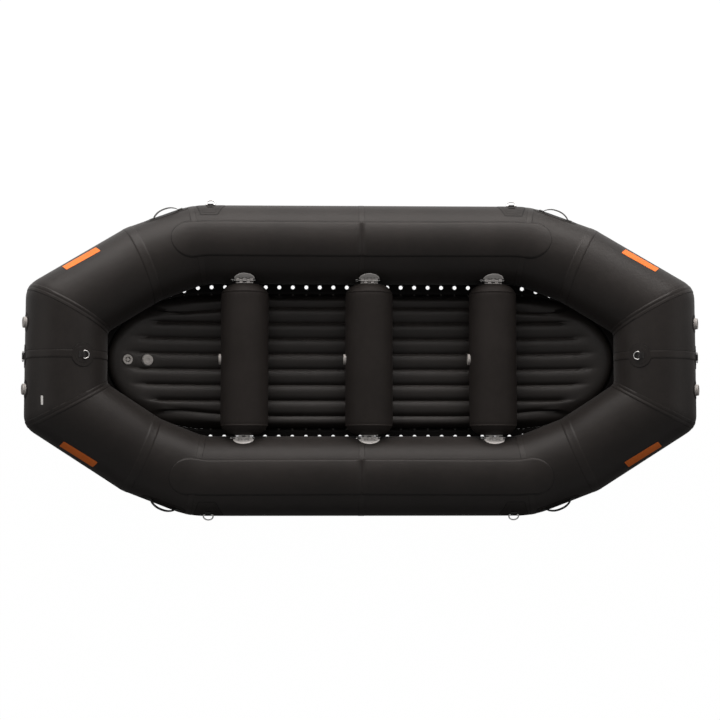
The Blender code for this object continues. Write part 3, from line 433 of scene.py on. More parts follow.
def pucker(joint, beside, angle):
    """Small gathers beside a mitred joint, deepest on the side where the fabric is crowded."""
    crowded = {1: 0.9, 2: 0.7, 3: 1.4}.get(joint, 0.0) * max(0.15, -math.cos(angle))
    if beside < 0 or not crowded:
        return 0.0
    fade = math.exp(-((beside / 0.055) ** 2)) * min(beside / 0.010, 1)
    wave = math.sin(angle * 31 + joint * 1.7) + 0.6 * math.sin(angle * 53 + joint)
    return 0.0006 * crowded * fade * wave


def beside_joint(joint, angle):
    """How far the close rows of points reach to each side of a joint."""
    return joint_reach + (corner_reach_swing * math.cos(angle) if joint == 3 else 0)


def tube_stations(quarter, angle):
    """Distances along one lengthwise line, each with its height and whether it is on a tape."""
    found = []
    for joint in range(5):
        shift = bend_tape_shift - bend_tape_swing * math.cos(angle) if joint == 2 else 0
        mark = quarter.mark(angle, joint) + shift
        before, after = joint_tapes[joint]
        wide = beside_joint(joint, angle)
        shares = (0.06, 0.14, 0.26, 0.42, 0.65, 1.0)
        offsets = [-before - tape_edge - (wide - before) * share for share in reversed(shares)]
        offsets += [-before - tape_edge, -before, -before * 0.6, -before * 0.16, 0]
        offsets += [after * 0.16, after * 0.6, after, after + tape_edge]
        offsets += [after + tape_edge + (wide - after) * share for share in shares]
        if joint == 0:
            offsets = [o for o in offsets if o >= 0]
        if joint == 4:
            offsets = [o for o in offsets if o <= 0]
        for offset in offsets:
            taped = -before - 1e-6 <= offset <= after + 1e-6
            beside = offset - after if offset > 0 else -offset - before
            thick = tape_thick if taped else 0
            if joint == 3 and taped:
                thick = tape_thick * (0.3 if offset == 0 else 2.0)
            found.append((mark + offset, thick + pucker(joint, beside, angle), taped))
        if joint < 4:
            start = mark + offsets[-1]
            ahead = beside_joint(joint + 1, angle) + tape_edge
            room = bend_tape_shift + bend_tape_swing if joint == 1 else 0
            stop = quarter.mark(angle, joint + 1) - ahead - room
            for share in (0.2, 0.4, 0.6, 0.8):
                found.append((start + (stop - start) * share, 0.0, False))
    return found


for (end, side), quarter in quarters.items():
    columns = []
    for number in range(fibre_count):
        angle = math.tau * number / fibre_count
        stations = tube_stations(quarter, angle)
        columns.append([quarter.on_fibre(angle, run, height) for run, height, taped in stations])
    taped_rows = [taped for run, height, taped in tube_stations(quarter, 0.0)]
    rows = [list(row) for row in zip(*columns)]
    mesh = skin(f"{end}_{side}_tube", rows, wrap=True, capped=True)
    for fabric in (tube_fabric, tape_fabric, cement_line):
        mesh.materials.append(fabric)
    for polygon in mesh.polygons:
        row = polygon.index // fibre_count
        if row < len(taped_rows) - 1 and (taped_rows[row] or taped_rows[row + 1]):
            polygon.material_index = 1 if taped_rows[row] and taped_rows[row + 1] else 2
    stands_for = [f"chamber_{end}_{side}"]
    put(f"{end}_{side}_tube", tidy_mesh(mesh), tube_fabric, "tube_fabric", stands_for=stands_for, sharp=60)


# The wear strips along the tops of the side tubes, a second layer of coated fabric glued on where
# frames and gear rest. They run straight past the shoulders and have round ends.
strip_low, strip_high, strip_thick = math.radians(63.0), math.radians(114.9), 0.0013
strip_straight, strip_round = 1.070, 0.135
strip_middle, strip_half = (strip_low + strip_high) / 2, (strip_high - strip_low) / 2
shoulder_turn = 0.371
cement_width = 0.0036


def clamped(share):
    return min(max(share, 0), 1)


def strip_spot(spot, share):
    """Distance and angle of a point on the strip, share being -1 at its outboard edge and 1 inboard."""
    into = clamped((spot - strip_straight) / strip_round)
    drift = max(spot - shoulder_x, 0) * shoulder_turn / tube_radius
    return spot, strip_middle - drift + share * strip_half * math.sqrt(1 - into * into)


def beside_line(points, gap):
    """The line that runs beside a line of flat points at a gap, on its left."""
    found = []
    for number, (u, v) in enumerate(points):
        before, after = points[max(number - 1, 0)], points[min(number + 1, len(points) - 1)]
        du, dv = after[0] - before[0], after[1] - before[1]
        size = math.hypot(du, dv) or 1.0
        found.append((u - dv / size * gap, v + du / size * gap))
    return found


for (end, side), quarter in quarters.items():
    spots = [strip_straight * k / 26 for k in range(27)]
    spots += [strip_straight + strip_round * math.sin(math.pi / 2 * k / 12) for k in range(1, 13)]
    rows = []
    for spot in spots:
        row = []
        for step in range(17):
            run, angle = strip_spot(spot, step / 8 - 1)
            before, after = joint_tapes[1]
            beyond = run - quarter.mark(angle, 1)
            over_tape = tape_thick if -before < beyond < after or run < joint_tapes[0][1] else 0
            row.append(quarter.on_fibre(angle, run, strip_thick + over_tape))
        rows.append(row)
    strip = put(f"{end}_{side}_wear_strip", tidy_mesh(skin("strip", rows)), tape_fabric, "tube_fabric")
    backing = strip.modifiers.new("backing", "SOLIDIFY")
    backing.thickness = strip_thick + 0.0010
    backing.offset = -1 if strip.data.polygons[0].normal.z > 0 else 1
    edge = [strip_spot(spot, 1) for spot in spots] + [strip_spot(spot, -1) for spot in reversed(spots[:-1])]
    edge = [(run, angle * tube_radius) for run, angle in edge]
    outer = beside_line(edge, cement_width)
    rows = [
        [quarter.on_fibre(v / tube_radius, max(u, 0), 0.0004) for u, v in outer],
        [quarter.on_fibre(v / tube_radius, max(u, 0), strip_thick * 0.9) for u, v in edge],
    ]
    put(f"{end}_{side}_strip_edge", tidy_mesh(skin("strip_edge", rows)), cement_line, "tube_fabric")


# Bare orange panels on the outboard shoulders of the raft's ends and a blank white plate on the
# bow: coated fabric, die cut with round corners and glued to the tubes.
panel_start, panel_stop, panel_low, panel_high, panel_thick = 0.222, 0.466, 30.5, 47.5, 0.0012
plate_angle, plate_place, plate_long, plate_tall = math.radians(63.4), 0.014, 0.057, 0.0155


def rectangle(wide, tall):
    return [(u * wide / 2, v * tall / 2) for u, v in ((-1, -1), (1, -1), (1, 1), (-1, 1))]


def rounded_outline(points, radius, per_corner=7, per_edge=8):
    """A closed flat outline with its corners rounded off and points along its edges."""
    found = []
    for number, (u, v) in enumerate(points):
        corner = Vector((u, v))
        before = Vector(points[number - 1]) - corner
        after = Vector(points[(number + 1) % len(points)]) - corner
        start, stop = corner + before.normalized() * radius, corner + after.normalized() * radius
        for step in range(per_corner + 1):
            t = step / per_corner
            found.append(start * (1 - t) ** 2 + corner * 2 * t * (1 - t) + stop * t * t)
        next_start = Vector(points[(number + 1) % len(points)]) - after.normalized() * radius
        found += [stop.lerp(next_start, step / per_edge) for step in range(1, per_edge)]
    return [(p.x, p.y) for p in found]


def grown_outline(outline, gap):
    """The same outline, larger by a gap all round."""
    found, count = [], len(outline)
    turn = sum(outline[k - 1][0] * outline[k][1] - outline[k][0] * outline[k - 1][1] for k in range(count))
    way = 1 if turn > 0 else -1
    for k, (u, v) in enumerate(outline):
        (a, b), (c, d) = outline[k - 1], outline[(k + 1) % count]
        du, dv = c - a, d - b
        size = math.hypot(du, dv) or 1.0
        found.append((u + way * dv / size * gap, v - way * du / size * gap))
    return found


def patch_mesh(name, spot, outline, thick, low=0.0004, bevel=0.0005, cement=cement_width):
    """A glued patch on the tube under it: a line of cement, a low wall and a top in rings."""
    rings = [(grown_outline(outline, cement), low * 0.6), (outline, low), (outline, max(thick - bevel, low))]
    inset = grown_outline(outline, -bevel)
    mid_u, mid_v = (sum(values) / len(inset) for values in zip(*inset))
    for share in (1.0, 0.9, 0.75, 0.6, 0.45, 0.3, 0.15, 0.01):
        rings.append(([(mid_u + (u - mid_u) * share, mid_v + (v - mid_v) * share) for u, v in inset], thick))
    rows = [[spot(u, v, height) for u, v in ring] for ring, height in rings]
    count = len(outline)
    mesh = skin(name, rows, wrap=True)
    flat = [point for ring, height in rings for point in ring]
    layer = mesh.uv_layers[0]
    corner_uvs = np.array([flat[loop.vertex_index] for loop in mesh.loops], np.float32)
    layer.data.foreach_set("uv", corner_uvs.ravel())
    for polygon in mesh.polygons:
        polygon.material_index = 1 if polygon.index < count else 0
    return mesh


def put_patch(name, mesh, material, **more):
    """A patch on a tube, with the line of cement round it."""
    mesh.materials.append(material)
    mesh.materials.append(cement_line)
    return put(name, tidy_mesh(mesh), material, "tube_fabric", **more)


orange_fabric = coated_fabric("orange_fabric", (0.78, 0.165, 0.026), (0.88, 0.205, 0.038), 0.45, specular=0.20)
plate_fabric = coated_fabric("plate_fabric", (0.70, 0.69, 0.67), (0.80, 0.79, 0.77), 0.50, specular=0.30)
for (end, side), quarter in quarters.items():
    centre, middle = (panel_start + panel_stop) / 2, math.radians((panel_low + panel_high) / 2)
    corners = rectangle(panel_stop - panel_start, math.radians(panel_high - panel_low) * tube_radius)
    mesh = patch_mesh(
        "panel", lambda u, v, h: quarter.at(2, centre + u, middle + v / tube_radius, h),
        rounded_outline(corners, 0.009), panel_thick, cement=0.0015,
    )
    put_patch(f"{end}_{side}_orange_panel", mesh, orange_fabric)
bow_port = quarters["bow", "port"]
mesh = patch_mesh(
    "plate", lambda u, v, h: bow_port.at(3, plate_place + u, plate_angle + v / tube_radius, h),
    rounded_outline(rectangle(plate_long, plate_tall), 0.003), 0.0010, cement=0.0008,
)
put_patch("bow_blank_plate", mesh, plate_fabric)


# The bulkheads inside the tubes stay as they are: plain coated baffle fabric.
baffle_fabric = coated_fabric("baffle_fabric", (0.040, 0.038, 0.036), (0.055, 0.052, 0.050), 0.55)
for node_name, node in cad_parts.items():
    if node_name.startswith("bulkhead"):
        node.data.materials.clear()
        node.data.materials.append(baffle_fabric)


# The inflatable floor: two coated skins held by fabric I-beams, so it swells into ribs that run
# fore and aft and die out in a round border. It rises with the tubes at both ends.
floor_half_width, rib_pitch, full_ribs = 0.43696, 0.1018, 7
rib_crest, rib_valley, side_rib_crest = 0.0575, 0.035, 0.050
rib_end_centre, rib_end_edge, rib_fade = 1.555, 0.950, 0.130
floor_end_centre, floor_end_edge, border_width = 1.625, 1.020, 0.125
valley_lean, lean_start, lean_length = 0.065, 0.62, 0.70
floor_valve_x, floor_valve_sink, relief_x, relief_sink, seat_blend = 1.374, 0.0110, 1.495, 0.0045, 0.016
full_half = full_ribs * rib_pitch / 2
seat_offset = tube_axis_z * math.cos(math.pi / 4)
floor_z = tube_axis_z - seat_offset
kick_start, kick_bend = 1.000, 1.315
kick_slope = (end_rise - bend_rise) / (end_x - seat_offset - kick_bend)
floor_fabric = coated_fabric(
    "floor_fabric", (0.0205, 0.0176, 0.0162), (0.0275, 0.0238, 0.0220), 0.42, specular=0.22
)


def kick(x):
    """How far the floor has risen at this distance from the middle."""
    run = abs(x)
    if run <= kick_start:
        return 0.0
    if run <= kick_bend:
        return bend_rise * (run - kick_start) / (kick_bend - kick_start)
    return bend_rise + kick_slope * (run - kick_bend)


def soft_kick(x, width=0.08):
    """The same rise with its two corners eased, as fabric lies."""
    return sum(kick(abs(x) + width * share) for share in (-1, -0.5, 0, 0.5, 1)) / 5


def eased(share):
    share = clamped(share)
    return share * share * (3 - 2 * share)


def rib_end(y):
    share = clamped(abs(y) / floor_half_width)
    return rib_end_edge + (rib_end_centre - rib_end_edge) * (1 - share**2) ** 0.65


def floor_end(y):
    share = clamped(abs(y) / floor_half_width)
    return floor_end_edge + (floor_end_centre - floor_end_edge) * math.sqrt(1 - share**2)


def rib_height(y):
    """Half the floor's thickness across it: full ribs, then a narrower rib down to each edge."""
    rise = rib_crest - rib_valley
    if abs(y) <= full_half:
        place = (y + full_half) / rib_pitch
        offset = (place - math.floor(place) - 0.5) * rib_pitch
        half = rib_pitch / 2
        radius = (half**2 + rise**2) / (2 * rise)
        return rib_crest - radius + math.sqrt(radius**2 - offset**2)
    share = clamped((abs(y) - full_half) / (floor_half_width - full_half))
    crown = math.sin(math.pi * share) * (side_rib_crest - rib_valley * math.sqrt(3) / 2)
    return rib_valley * math.sqrt(max(1 - share**2, 0)) + crown


def floor_height(x, y):
    """Half the floor's thickness at a point: ribs that die out into its round border."""
    run, lean = abs(x), min(abs(y) / floor_half_width, 0.9999)
    fade = eased((rib_end(y) - run) / rib_fade)
    full, smooth = rib_height(y), rib_crest if abs(y) < full_half else rib_height(y)
    steep = (floor_end_centre - floor_end_edge) / floor_half_width * lean / math.sqrt(1 - lean**2)
    wide = border_width * min(math.hypot(1, steep), 4.5)
    roll = math.sqrt(1 - (1 - clamped((floor_end(y) - run) / wide)) ** 2)
    return (smooth + (full - smooth) * fade) * roll


def bent_in(x, y):
    """The ribs' lines run straight, but the outermost valleys lean in along the floor's border."""
    inner, run = full_half - rib_pitch, abs(x) / floor_end(y)
    lean = valley_lean * clamped((abs(x) - lean_start) / lean_length) ** 1.8 * (1 - run**10)
    beyond = abs(y) - inner
    if beyond <= 0:
        return y
    share = beyond / rib_pitch if beyond < rib_pitch else 1 - (beyond - rib_pitch) / (floor_half_width - full_half)
    return math.copysign(abs(y) - lean * share, y)


# seats of the inflation valve and the relief valve: place, radius, depth square to the slope
valve_seats = [(-floor_valve_x, 0.0385, floor_valve_sink), (-relief_x, 0.0330, relief_sink)]
end_shares = (0, 0.004, 0.02, 0.06, 0.12, 0.2, 0.3, 0.42, 0.56, 0.7, 0.85, 1.0)
fade_shares = (0.06, 0.14, 0.24, 0.36, 0.5, 0.66, 0.84, 1.0, 1.2)
slope_share = math.cos(math.atan(kick_slope))
floor_lines = [-full_half + rib_pitch * step / 12 for step in range(full_ribs * 12 + 1)]
side_gap = floor_half_width - full_half
outer = [full_half + side_gap * math.sin(math.pi / 2 * step / 12) for step in range(1, 13)]
floor_lines = [-y for y in reversed(outer)] + floor_lines + outer
top_rows, under_rows = [], []
for y in floor_lines:
    reach_here, ribs = floor_end(y), rib_end(y)
    half_line = [reach_here - (reach_here - ribs) * share for share in end_shares]
    half_line += [ribs - rib_fade * share for share in fade_shares]
    inner = half_line[-1]
    half_line += [inner * (1 - k / 34) for k in range(1, 35)]
    xs = [-x for x in half_line] + list(reversed(half_line[:-1]))
    top, under = [], []
    for x in xs:
        height = floor_height(x, y)
        rise = floor_z + soft_kick(x)
        level = rise + height
        for seat_x, seat_radius, sink in valve_seats:
            away = math.hypot((x - seat_x) / slope_share, y)
            hold = eased((seat_radius + seat_blend - away) / seat_blend)
            seat_level = floor_z + bend_rise + kick_slope * (abs(x) - kick_bend) + rib_crest - sink / slope_share
            level = level + (seat_level - level) * hold
        top.append(Vector((x, bent_in(x, y), level)))
        under.append(Vector((x, bent_in(x, y), rise - height)))
    top_rows.append(top)
    under_rows.append(under)
floor_skins = [(skin("floor_top", top_rows), Matrix()), (skin("floor_under", under_rows), Matrix())]
floor_mesh = tidy_mesh(joined_mesh("inflatable_floor", floor_skins), 0.0002)
put("inflatable_floor", floor_mesh, floor_fabric, "floor_fabric", stands_for=["floor"], sharp=70)


# The drain skirt: a flat band of coated fabric from the floor's edge to the tubes, glued up the
# inside of the tubes, with a row of punched and bound drain holes along each side.
skirt_thick = 0.002
drain_radius, drain_pitch, drain_share, drains = 0.013, 0.0889, 0.43, 14
seat_angle = math.radians(225)
flange_lifts = (0.05, 0.12, 0.20)
eyelet_share, eyelet_radius, eyelet_wire = 0.035, 0.0046, 0.0012
# painted shade: the skirt's coated fabric is coloured darker than the tubes' to stand for the shade in the gap
# between floor and tubes
skirt_fabric = coated_fabric(
    "skirt_fabric", (0.0042, 0.0035, 0.0032), (0.0066, 0.0055, 0.0050), 0.56, specular=0.10
)
binding_rubber = coated_fabric("binding_rubber", (0.0030, 0.0026, 0.0024), (0.0052, 0.0046, 0.0042), 0.45)


def skirt_edges(quarter):
    """Matching points on the skirt's inner and outer edges of one quarter, and its glued flange."""
    end_sign, side_sign = quarter.outboard.x, quarter.outboard.y
    marks = quarter.fibre(seat_angle)[3]
    straight_count, swing_count, fine_count = 30, 60, 601
    runs = np.linspace(0, marks[-1], fine_count)
    outer_line = [quarter.on_fibre(seat_angle, run, 0.0012) for run in runs]
    flat = np.array([(p.x, p.y) for p in outer_line])
    straight = np.linspace(0, floor_end_edge - 0.021, straight_count)
    inner = [Vector((x, floor_half_width)) for x in straight]
    swing = [floor_half_width * math.cos(a) for a in np.linspace(0, math.pi / 2, swing_count)]
    inner += [Vector((floor_end(y), y)) for y in swing]
    found, least = [], 0
    for number, point in enumerate(inner):
        near = np.array((point.x * end_sign, point.y * side_sign))
        distances = np.linalg.norm(flat[least:] - near, axis=1)
        least = least + int(distances.argmin()) if number < len(inner) - 1 else fine_count - 1
        lifted = Vector((near[0], near[1], floor_z + soft_kick(point.x)))
        joint_place = np.interp(runs[least], marks, range(5))
        flange = []
        for lift in flange_lifts:
            angle = seat_angle - lift
            run = np.interp(joint_place, range(5), quarter.fibre(angle)[3])
            flange.append(quarter.on_fibre(angle, run, 0.0012))
        found.append((lifted, outer_line[least], flange))
    return found


skirt_rows = []
order = [("bow", "starboard", 1), ("stern", "starboard", -1), ("stern", "port", 1), ("bow", "port", -1)]
for end, side, way in order:
    rungs = []
    for near, far, flange in skirt_edges(quarters[end, side]):
        rungs.append([near + (far - near) * share for share in (0, 0.2, 0.4, 0.6, 0.8, 1.0)] + flange)
    if way == 1:
        rungs = list(reversed(rungs))
    skirt_rows += rungs if not skirt_rows else rungs[1:]
skirt_rows[-1] = skirt_rows[0]
skirt_mesh = tidy_mesh(skin("drain_skirt_band", skirt_rows), 0.0004)
skirt_around = sum((b[5] - a[5]).length for a, b in zip(skirt_rows, skirt_rows[1:]))
skirt_widest = max(sum((b - a).length for a, b in zip(row, row[1:])) for row in skirt_rows)
skirt = put("drain_skirt_band", skirt_mesh, skirt_fabric, "skirt_fabric", stands_for=["drain_skirt"])
body_cloth = skirt.modifiers.new("cloth", "SOLIDIFY")
body_cloth.thickness = skirt_thick
body_cloth.offset = 0
starboard_edges = skirt_edges(quarters["stern", "starboard"])
near_line = [(near.x, near.y) for near, far, flange in starboard_edges]
far_line = sorted((far.x, far.y) for near, far, flange in starboard_edges)


def skirt_place(x, share):
    """Distance from the centreline of a point that stands at a share of the skirt's width."""
    near, far = (np.interp(x, *zip(*line)) for line in (near_line, far_line))
    return near + (far - near) * share


def around_raft(share):
    """Places in rows along both sides, at the drain holes' pitch, on the skirt's fabric."""
    found = []
    for number in range(drains + 1):
        x = number * drain_pitch
        y = skirt_place(x, share)
        for sign_x in (1, -1) if number else (1,):
            found += [Vector((sign_x * x, sign_y * y, floor_z + soft_kick(x))) for sign_y in (1, -1)]
    return found


drain_places = around_raft(drain_share)
punches = bmesh.new()
for place in drain_places:
    bmesh.ops.create_cone(
        punches, cap_ends=True, segments=28, radius1=drain_radius, radius2=drain_radius, depth=0.5,
        matrix=Matrix.Translation((place.x, place.y, 0.15)),
    )
punch_mesh = bpy.data.meshes.new("punches")
punches.to_mesh(punch_mesh)
punches.free()
punch = linked("punches", punch_mesh)
holes = skirt.modifiers.new("drain_holes", "BOOLEAN")
holes.operation = "DIFFERENCE"
holes.solver = "EXACT"
holes.object = punch
bpy.context.view_layer.update()
cut_mesh = bpy.data.meshes.new_from_object(skirt.evaluated_get(bpy.context.evaluated_depsgraph_get()))
skirt.modifiers.clear()
skirt.data = cut_mesh
bpy.data.objects.remove(punch, do_unlink=True)


def wire_mesh(name, points, radius, upright, closed=True, around=12):
    """A round wire along points of one plane, whose normal is given."""
    rows, count = [], len(points)
    for k, point in enumerate(points):
        before = points[k - 1] if closed or k else points[0]
        after = points[(k + 1) % count] if closed or k < count - 1 else points[-1]
        beside = upright.cross(after - before).normalized()
        turns = [math.tau * step / around for step in range(around)]
        rows.append([point + (beside * math.cos(a) + upright * math.sin(a)) * radius for a in turns])
    return skin(name, rows + rows[:1] if closed else rows, wrap=True, capped=not closed)


def circle(centre, radius, count, first=Vector((1, 0, 0)), second=Vector((0, 1, 0))):
    turns = [math.tau * k / count for k in range(count)]
    return [centre + (first * math.cos(a) + second * math.sin(a)) * radius for a in turns]


def put_on_skirt(name, radius, count, wire, around, places, material):
    """Small wire rings lying on the skirt's upper face, as one piece."""
    ring = wire_mesh("ring", circle(Vector(), radius, count), wire, Vector((0, 0, 1)), around=around)
    up_step = Matrix.Translation((0, 0, skirt_thick / 2))
    rings = joined_mesh(name, [(ring, Matrix.Translation(place) @ up_step) for place in places])
    return put(name, tidy_mesh(rings), material, "skirt_fabric")


def polished_metal(name, tone, gloss):
    paint = Paint(name, Metallic=1.0)
    place = paint.node("TexCoord", {}, {}, "Object")
    lines = paint.noise(paint.stretched(place, (40.0, 900.0, 900.0)), 1.0, 3)
    cloud = paint.noise(place, 60.0, 4, 0.65)
    colour = paint.mix(cloud, tuple(c * 0.86 for c in tone), tone)
    return paint.finish(colour, gloss + (cloud - 0.5) * 0.12 + (lines - 0.5) * 0.06, lines, 0.00004)


eyelet_metal = polished_metal("eyelet_metal", (0.12, 0.115, 0.11), 0.45)
bindings = put_on_skirt("drain_bindings", drain_radius + 0.0012, 28, 0.0016, 8, drain_places, binding_rubber)
eyelet_places = around_raft(eyelet_share)
eyelets = put_on_skirt("skirt_eyelets", eyelet_radius, 16, eyelet_wire, 6, eyelet_places, eyelet_metal)


# The three thwarts: fabric drums with domed ends, a welded seam ring near each end and a grey
# valve on the bow side. A half-round leaf of the hinge is set in each end, under the pin.
thwart_radius, thwart_half, thwart_z = 0.1515, 0.486, tube_axis_z + 0.050
dome_radius, seam_inset = 0.0865, 0.062
thwart_xs = {"bow": -0.746, "middle": 0.050, "stern": 0.846}
pin_off_tube, pin_angle = 0.0090, math.radians(157.5)
knuckle_radius, knuckle_length, knuckle_count, knuckle_gap = 0.0080, 0.0220, 5, 0.0003
thwart_leaf_radius, thwart_leaf_thick, thwart_leaf_sink, arm_thick = 0.055, 0.0045, 0.0015, 0.008
facet_drop = tube_radius - tube_axis_z
pin_y = side_y - (tube_axis_z + pin_off_tube) * math.cos(math.pi - pin_angle)
pin_z = tube_axis_z + (tube_axis_z + pin_off_tube) * math.sin(math.pi - pin_angle)
thwart_fabric = coated_fabric(
    "thwart_fabric", (0.0150, 0.0124, 0.0112), (0.0205, 0.0172, 0.0158), 0.62, specular=0.12
)


def moulded_plastic(name, dark, light, gloss):
    paint = Paint(name, Specular_IOR_Level=0.45)
    place = paint.node("TexCoord", {}, {}, "Object")
    grain = paint.noise(place, 1500.0, 2)
    cloud = paint.noise(place, 38.0, 4, 0.6)
    grime = paint.steps(paint.noise(place, 90.0, 5, 0.7), 0.56, 0.72)
    tone = paint.mix(cloud, dark, light)
    colour = paint.mix(grime * 0.20, tone, tuple(c * 0.6 for c in dark))
    return paint.finish(colour, gloss + (cloud - 0.5) * 0.15 + grime * 0.12, grain, 0.00012)


grey_plastic = moulded_plastic("grey_plastic", (0.74, 0.715, 0.695), (0.84, 0.812, 0.79), 0.42)


def thwart_profile():
    """Radius and place along a thwart, from the middle of one end to its middle."""
    crown = 0.003
    disc = thwart_radius - dome_radius
    found = [(0.0004, thwart_half)]
    found += [(disc * k / 5, thwart_half - crown * (k / 5) ** 2) for k in range(1, 6)]
    for step in range(1, 19):
        a = math.pi / 2 * step / 18
        height = thwart_half - crown - (dome_radius - crown) * (1 - math.cos(a))
        found.append((disc + dome_radius * math.sin(a), height))
    seamed = []
    for number, (r, h) in enumerate(found):
        seamed.append((r, h))
        if number and found[number - 1][1] > thwart_half - seam_inset >= h:
            seamed.pop()
            seam = ((-0.0008, 0.0060), (0.0012, 0.0052), (0.0014, -0.0002), (0.0004, -0.0012))
            seamed += [(r + out, h + along) for out, along in seam]
    straight = thwart_half - dome_radius
    seamed += [(thwart_radius, straight * share) for share in (0.97, 0.9, 0.75, 0.5, 0.25, 0)]
    return seamed


def turned(name, profile, around=48, flutes=0, flute_depth=0.0, fluted=()):
    """A turned piece about local Z from (radius, height) points, with flutes round the named ones."""
    rows = []
    for number, (r, h) in enumerate(profile):
        row = []
        for k in range(around):
            a = math.tau * k / around
            cut = flute_depth * max(math.cos(a * flutes), 0) if number in fluted else 0
            row.append(Vector(((r - cut) * math.cos(a), (r - cut) * math.sin(a), h)))
        rows.append(row)
    return skin(name, rows, wrap=True)


def soft_box(name, low, high, bevel=0.0008):
    """A block with its edges eased."""
    bm = bmesh.new()
    bmesh.ops.create_cube(bm, size=1)
    for vertex in bm.verts:
        vertex.co = [a + (b - a) * (c + 0.5) for a, b, c in zip(low, high, vertex.co)]
    bmesh.ops.bevel(bm, geom=list(bm.edges), offset=bevel, segments=2, profile=0.5, affect="EDGES")
    mesh = bpy.data.meshes.new(name)
    bm.to_mesh(mesh)
    bm.free()
    return mesh


def knuckle_spans(which):
    """Start and stop of the named knuckles along the pin."""
    starts = [(k - knuckle_count / 2) * knuckle_length for k in which]
    return [(start + knuckle_gap, start + knuckle_length - knuckle_gap) for start in starts]


def knuckle_mesh(start, stop):
    """A hinge knuckle round the pin, along local X."""
    bore, size, ease = 0.0034, knuckle_radius, 0.0010
    profile = [(bore, start), (size - ease, start), (size, start + ease), (size, stop - ease)]
    profile += [(size - ease, stop), (bore, stop), (bore, start)]
    mesh = turned("knuckle", profile, 24)
    mesh.transform(Matrix.Rotation(math.pi / 2, 4, "Y"))
    return mesh


def flat_arc(u, v, radius, start, stop, steps):
    """Flat points round a centre, from one angle to another with both ends."""
    turns = [start + (stop - start) * k / steps for k in range(steps + 1)]
    return [(u + radius * math.cos(a), v + radius * math.sin(a)) for a in turns]


def half_round_plate(name, radius, thick):
    """A half-round plate in the XY plane, its flat side on X and its round side down."""
    outline = rounded_flat(flat_arc(0, 0, radius, math.pi, math.tau, 28))
    ease = 0.0009
    inset = grown_outline(outline, -ease)
    rows = []
    for ring, height in ((inset, 0.0), (outline, ease), (outline, thick - ease), (inset, thick)):
        rows.append([Vector((u, v, height)) for u, v in ring])
    return skin(name, rows, wrap=True, capped=True)


def rounded_flat(outline, steps=8):
    """The outline of a half-round with points along its flat side too."""
    first, last = outline[0], outline[-1]
    flat = [(last[0] + (first[0] - last[0]) * k / steps, last[1]) for k in range(1, steps)]
    return outline + flat


for thwart, x in thwart_xs.items():
    half_line = thwart_profile()
    line = half_line + [(r, -h) for r, h in reversed(half_line[:-1])]
    rows = []
    for r, h in line:
        row = []
        gather = 0.0005 * math.exp(-(((thwart_half - 0.08 - abs(h)) / 0.03) ** 2)) if r > 0.1 else 0
        for number in range(96):
            angle = math.tau * number / 96
            lifted = r + gather * math.sin(angle * 29 + (1 if h > 0 else 4))
            row.append(Vector((x + lifted * math.cos(angle), h, thwart_z + lifted * math.sin(angle))))
        rows.append(row)
    drum = tidy_mesh(skin("drum", rows, wrap=True))
    put(f"{thwart}_thwart_drum", drum, thwart_fabric, "thwart_fabric", stands_for=[f"{thwart}_thwart"], sharp=60)
    pieces = []
    for side_sign in (1, -1):
        face = side_sign * (thwart_half - thwart_leaf_sink)
        plate = half_round_plate("plate", thwart_leaf_radius, thwart_leaf_thick)
        front = face + (thwart_leaf_thick if side_sign > 0 else 0)
        stand = Matrix.Translation((x, front, pin_z)) @ Matrix.Rotation(math.pi / 2, 4, "X")
        pieces.append((plate, stand))
        for start, stop in knuckle_spans((1, 3)):
            pieces.append((knuckle_mesh(start, stop), Matrix.Translation((x, side_sign * pin_y, pin_z))))
            near, far = sorted((face, side_sign * (pin_y - knuckle_radius * 0.45)))
            low = (x + start + knuckle_gap, near, pin_z - arm_thick)
            high = (x + stop - knuckle_gap, far, pin_z - knuckle_gap)
            pieces.append((soft_box("arm", low, high), Matrix()))
    leaves = tidy_mesh(joined_mesh("leaves", pieces))
    put(f"{thwart}_thwart_leaves", leaves, grey_plastic, "hinge_plastic", sharp=45)


# The hinge leaves on the tubes: half-round grey plates moulded to the tube's curve, each with a row of
# slots shown as dark bars of painted shade and three knuckles on arms. A loose steel rod with a pull eye joins the
# two leaves.
leaf_radius, leaf_thick, leaf_slots, slot_pitch, slot_rise = 0.0655, 0.0042, 4, 0.0215, 0.0235
rod_radius, rod_tail, rod_eye_radius, rod_eye_wire = 0.0030, 0.014, 0.009, 0.0024
leaf_setback = knuckle_radius + leaf_thick / 2
steel = polished_metal("polished_steel", (0.54, 0.53, 0.52), 0.26)
# painted shade: a near-black plastic that stands for the shade inside the leaves' slots and the relief valve's well
recess_painted_shade = moulded_plastic("recess_painted_shade", (0.055, 0.052, 0.050), (0.075, 0.071, 0.068), 0.55)


def axis_of(place, number):
    """One of a frame's own directions."""
    return place.to_3x3().col[number].normalized()


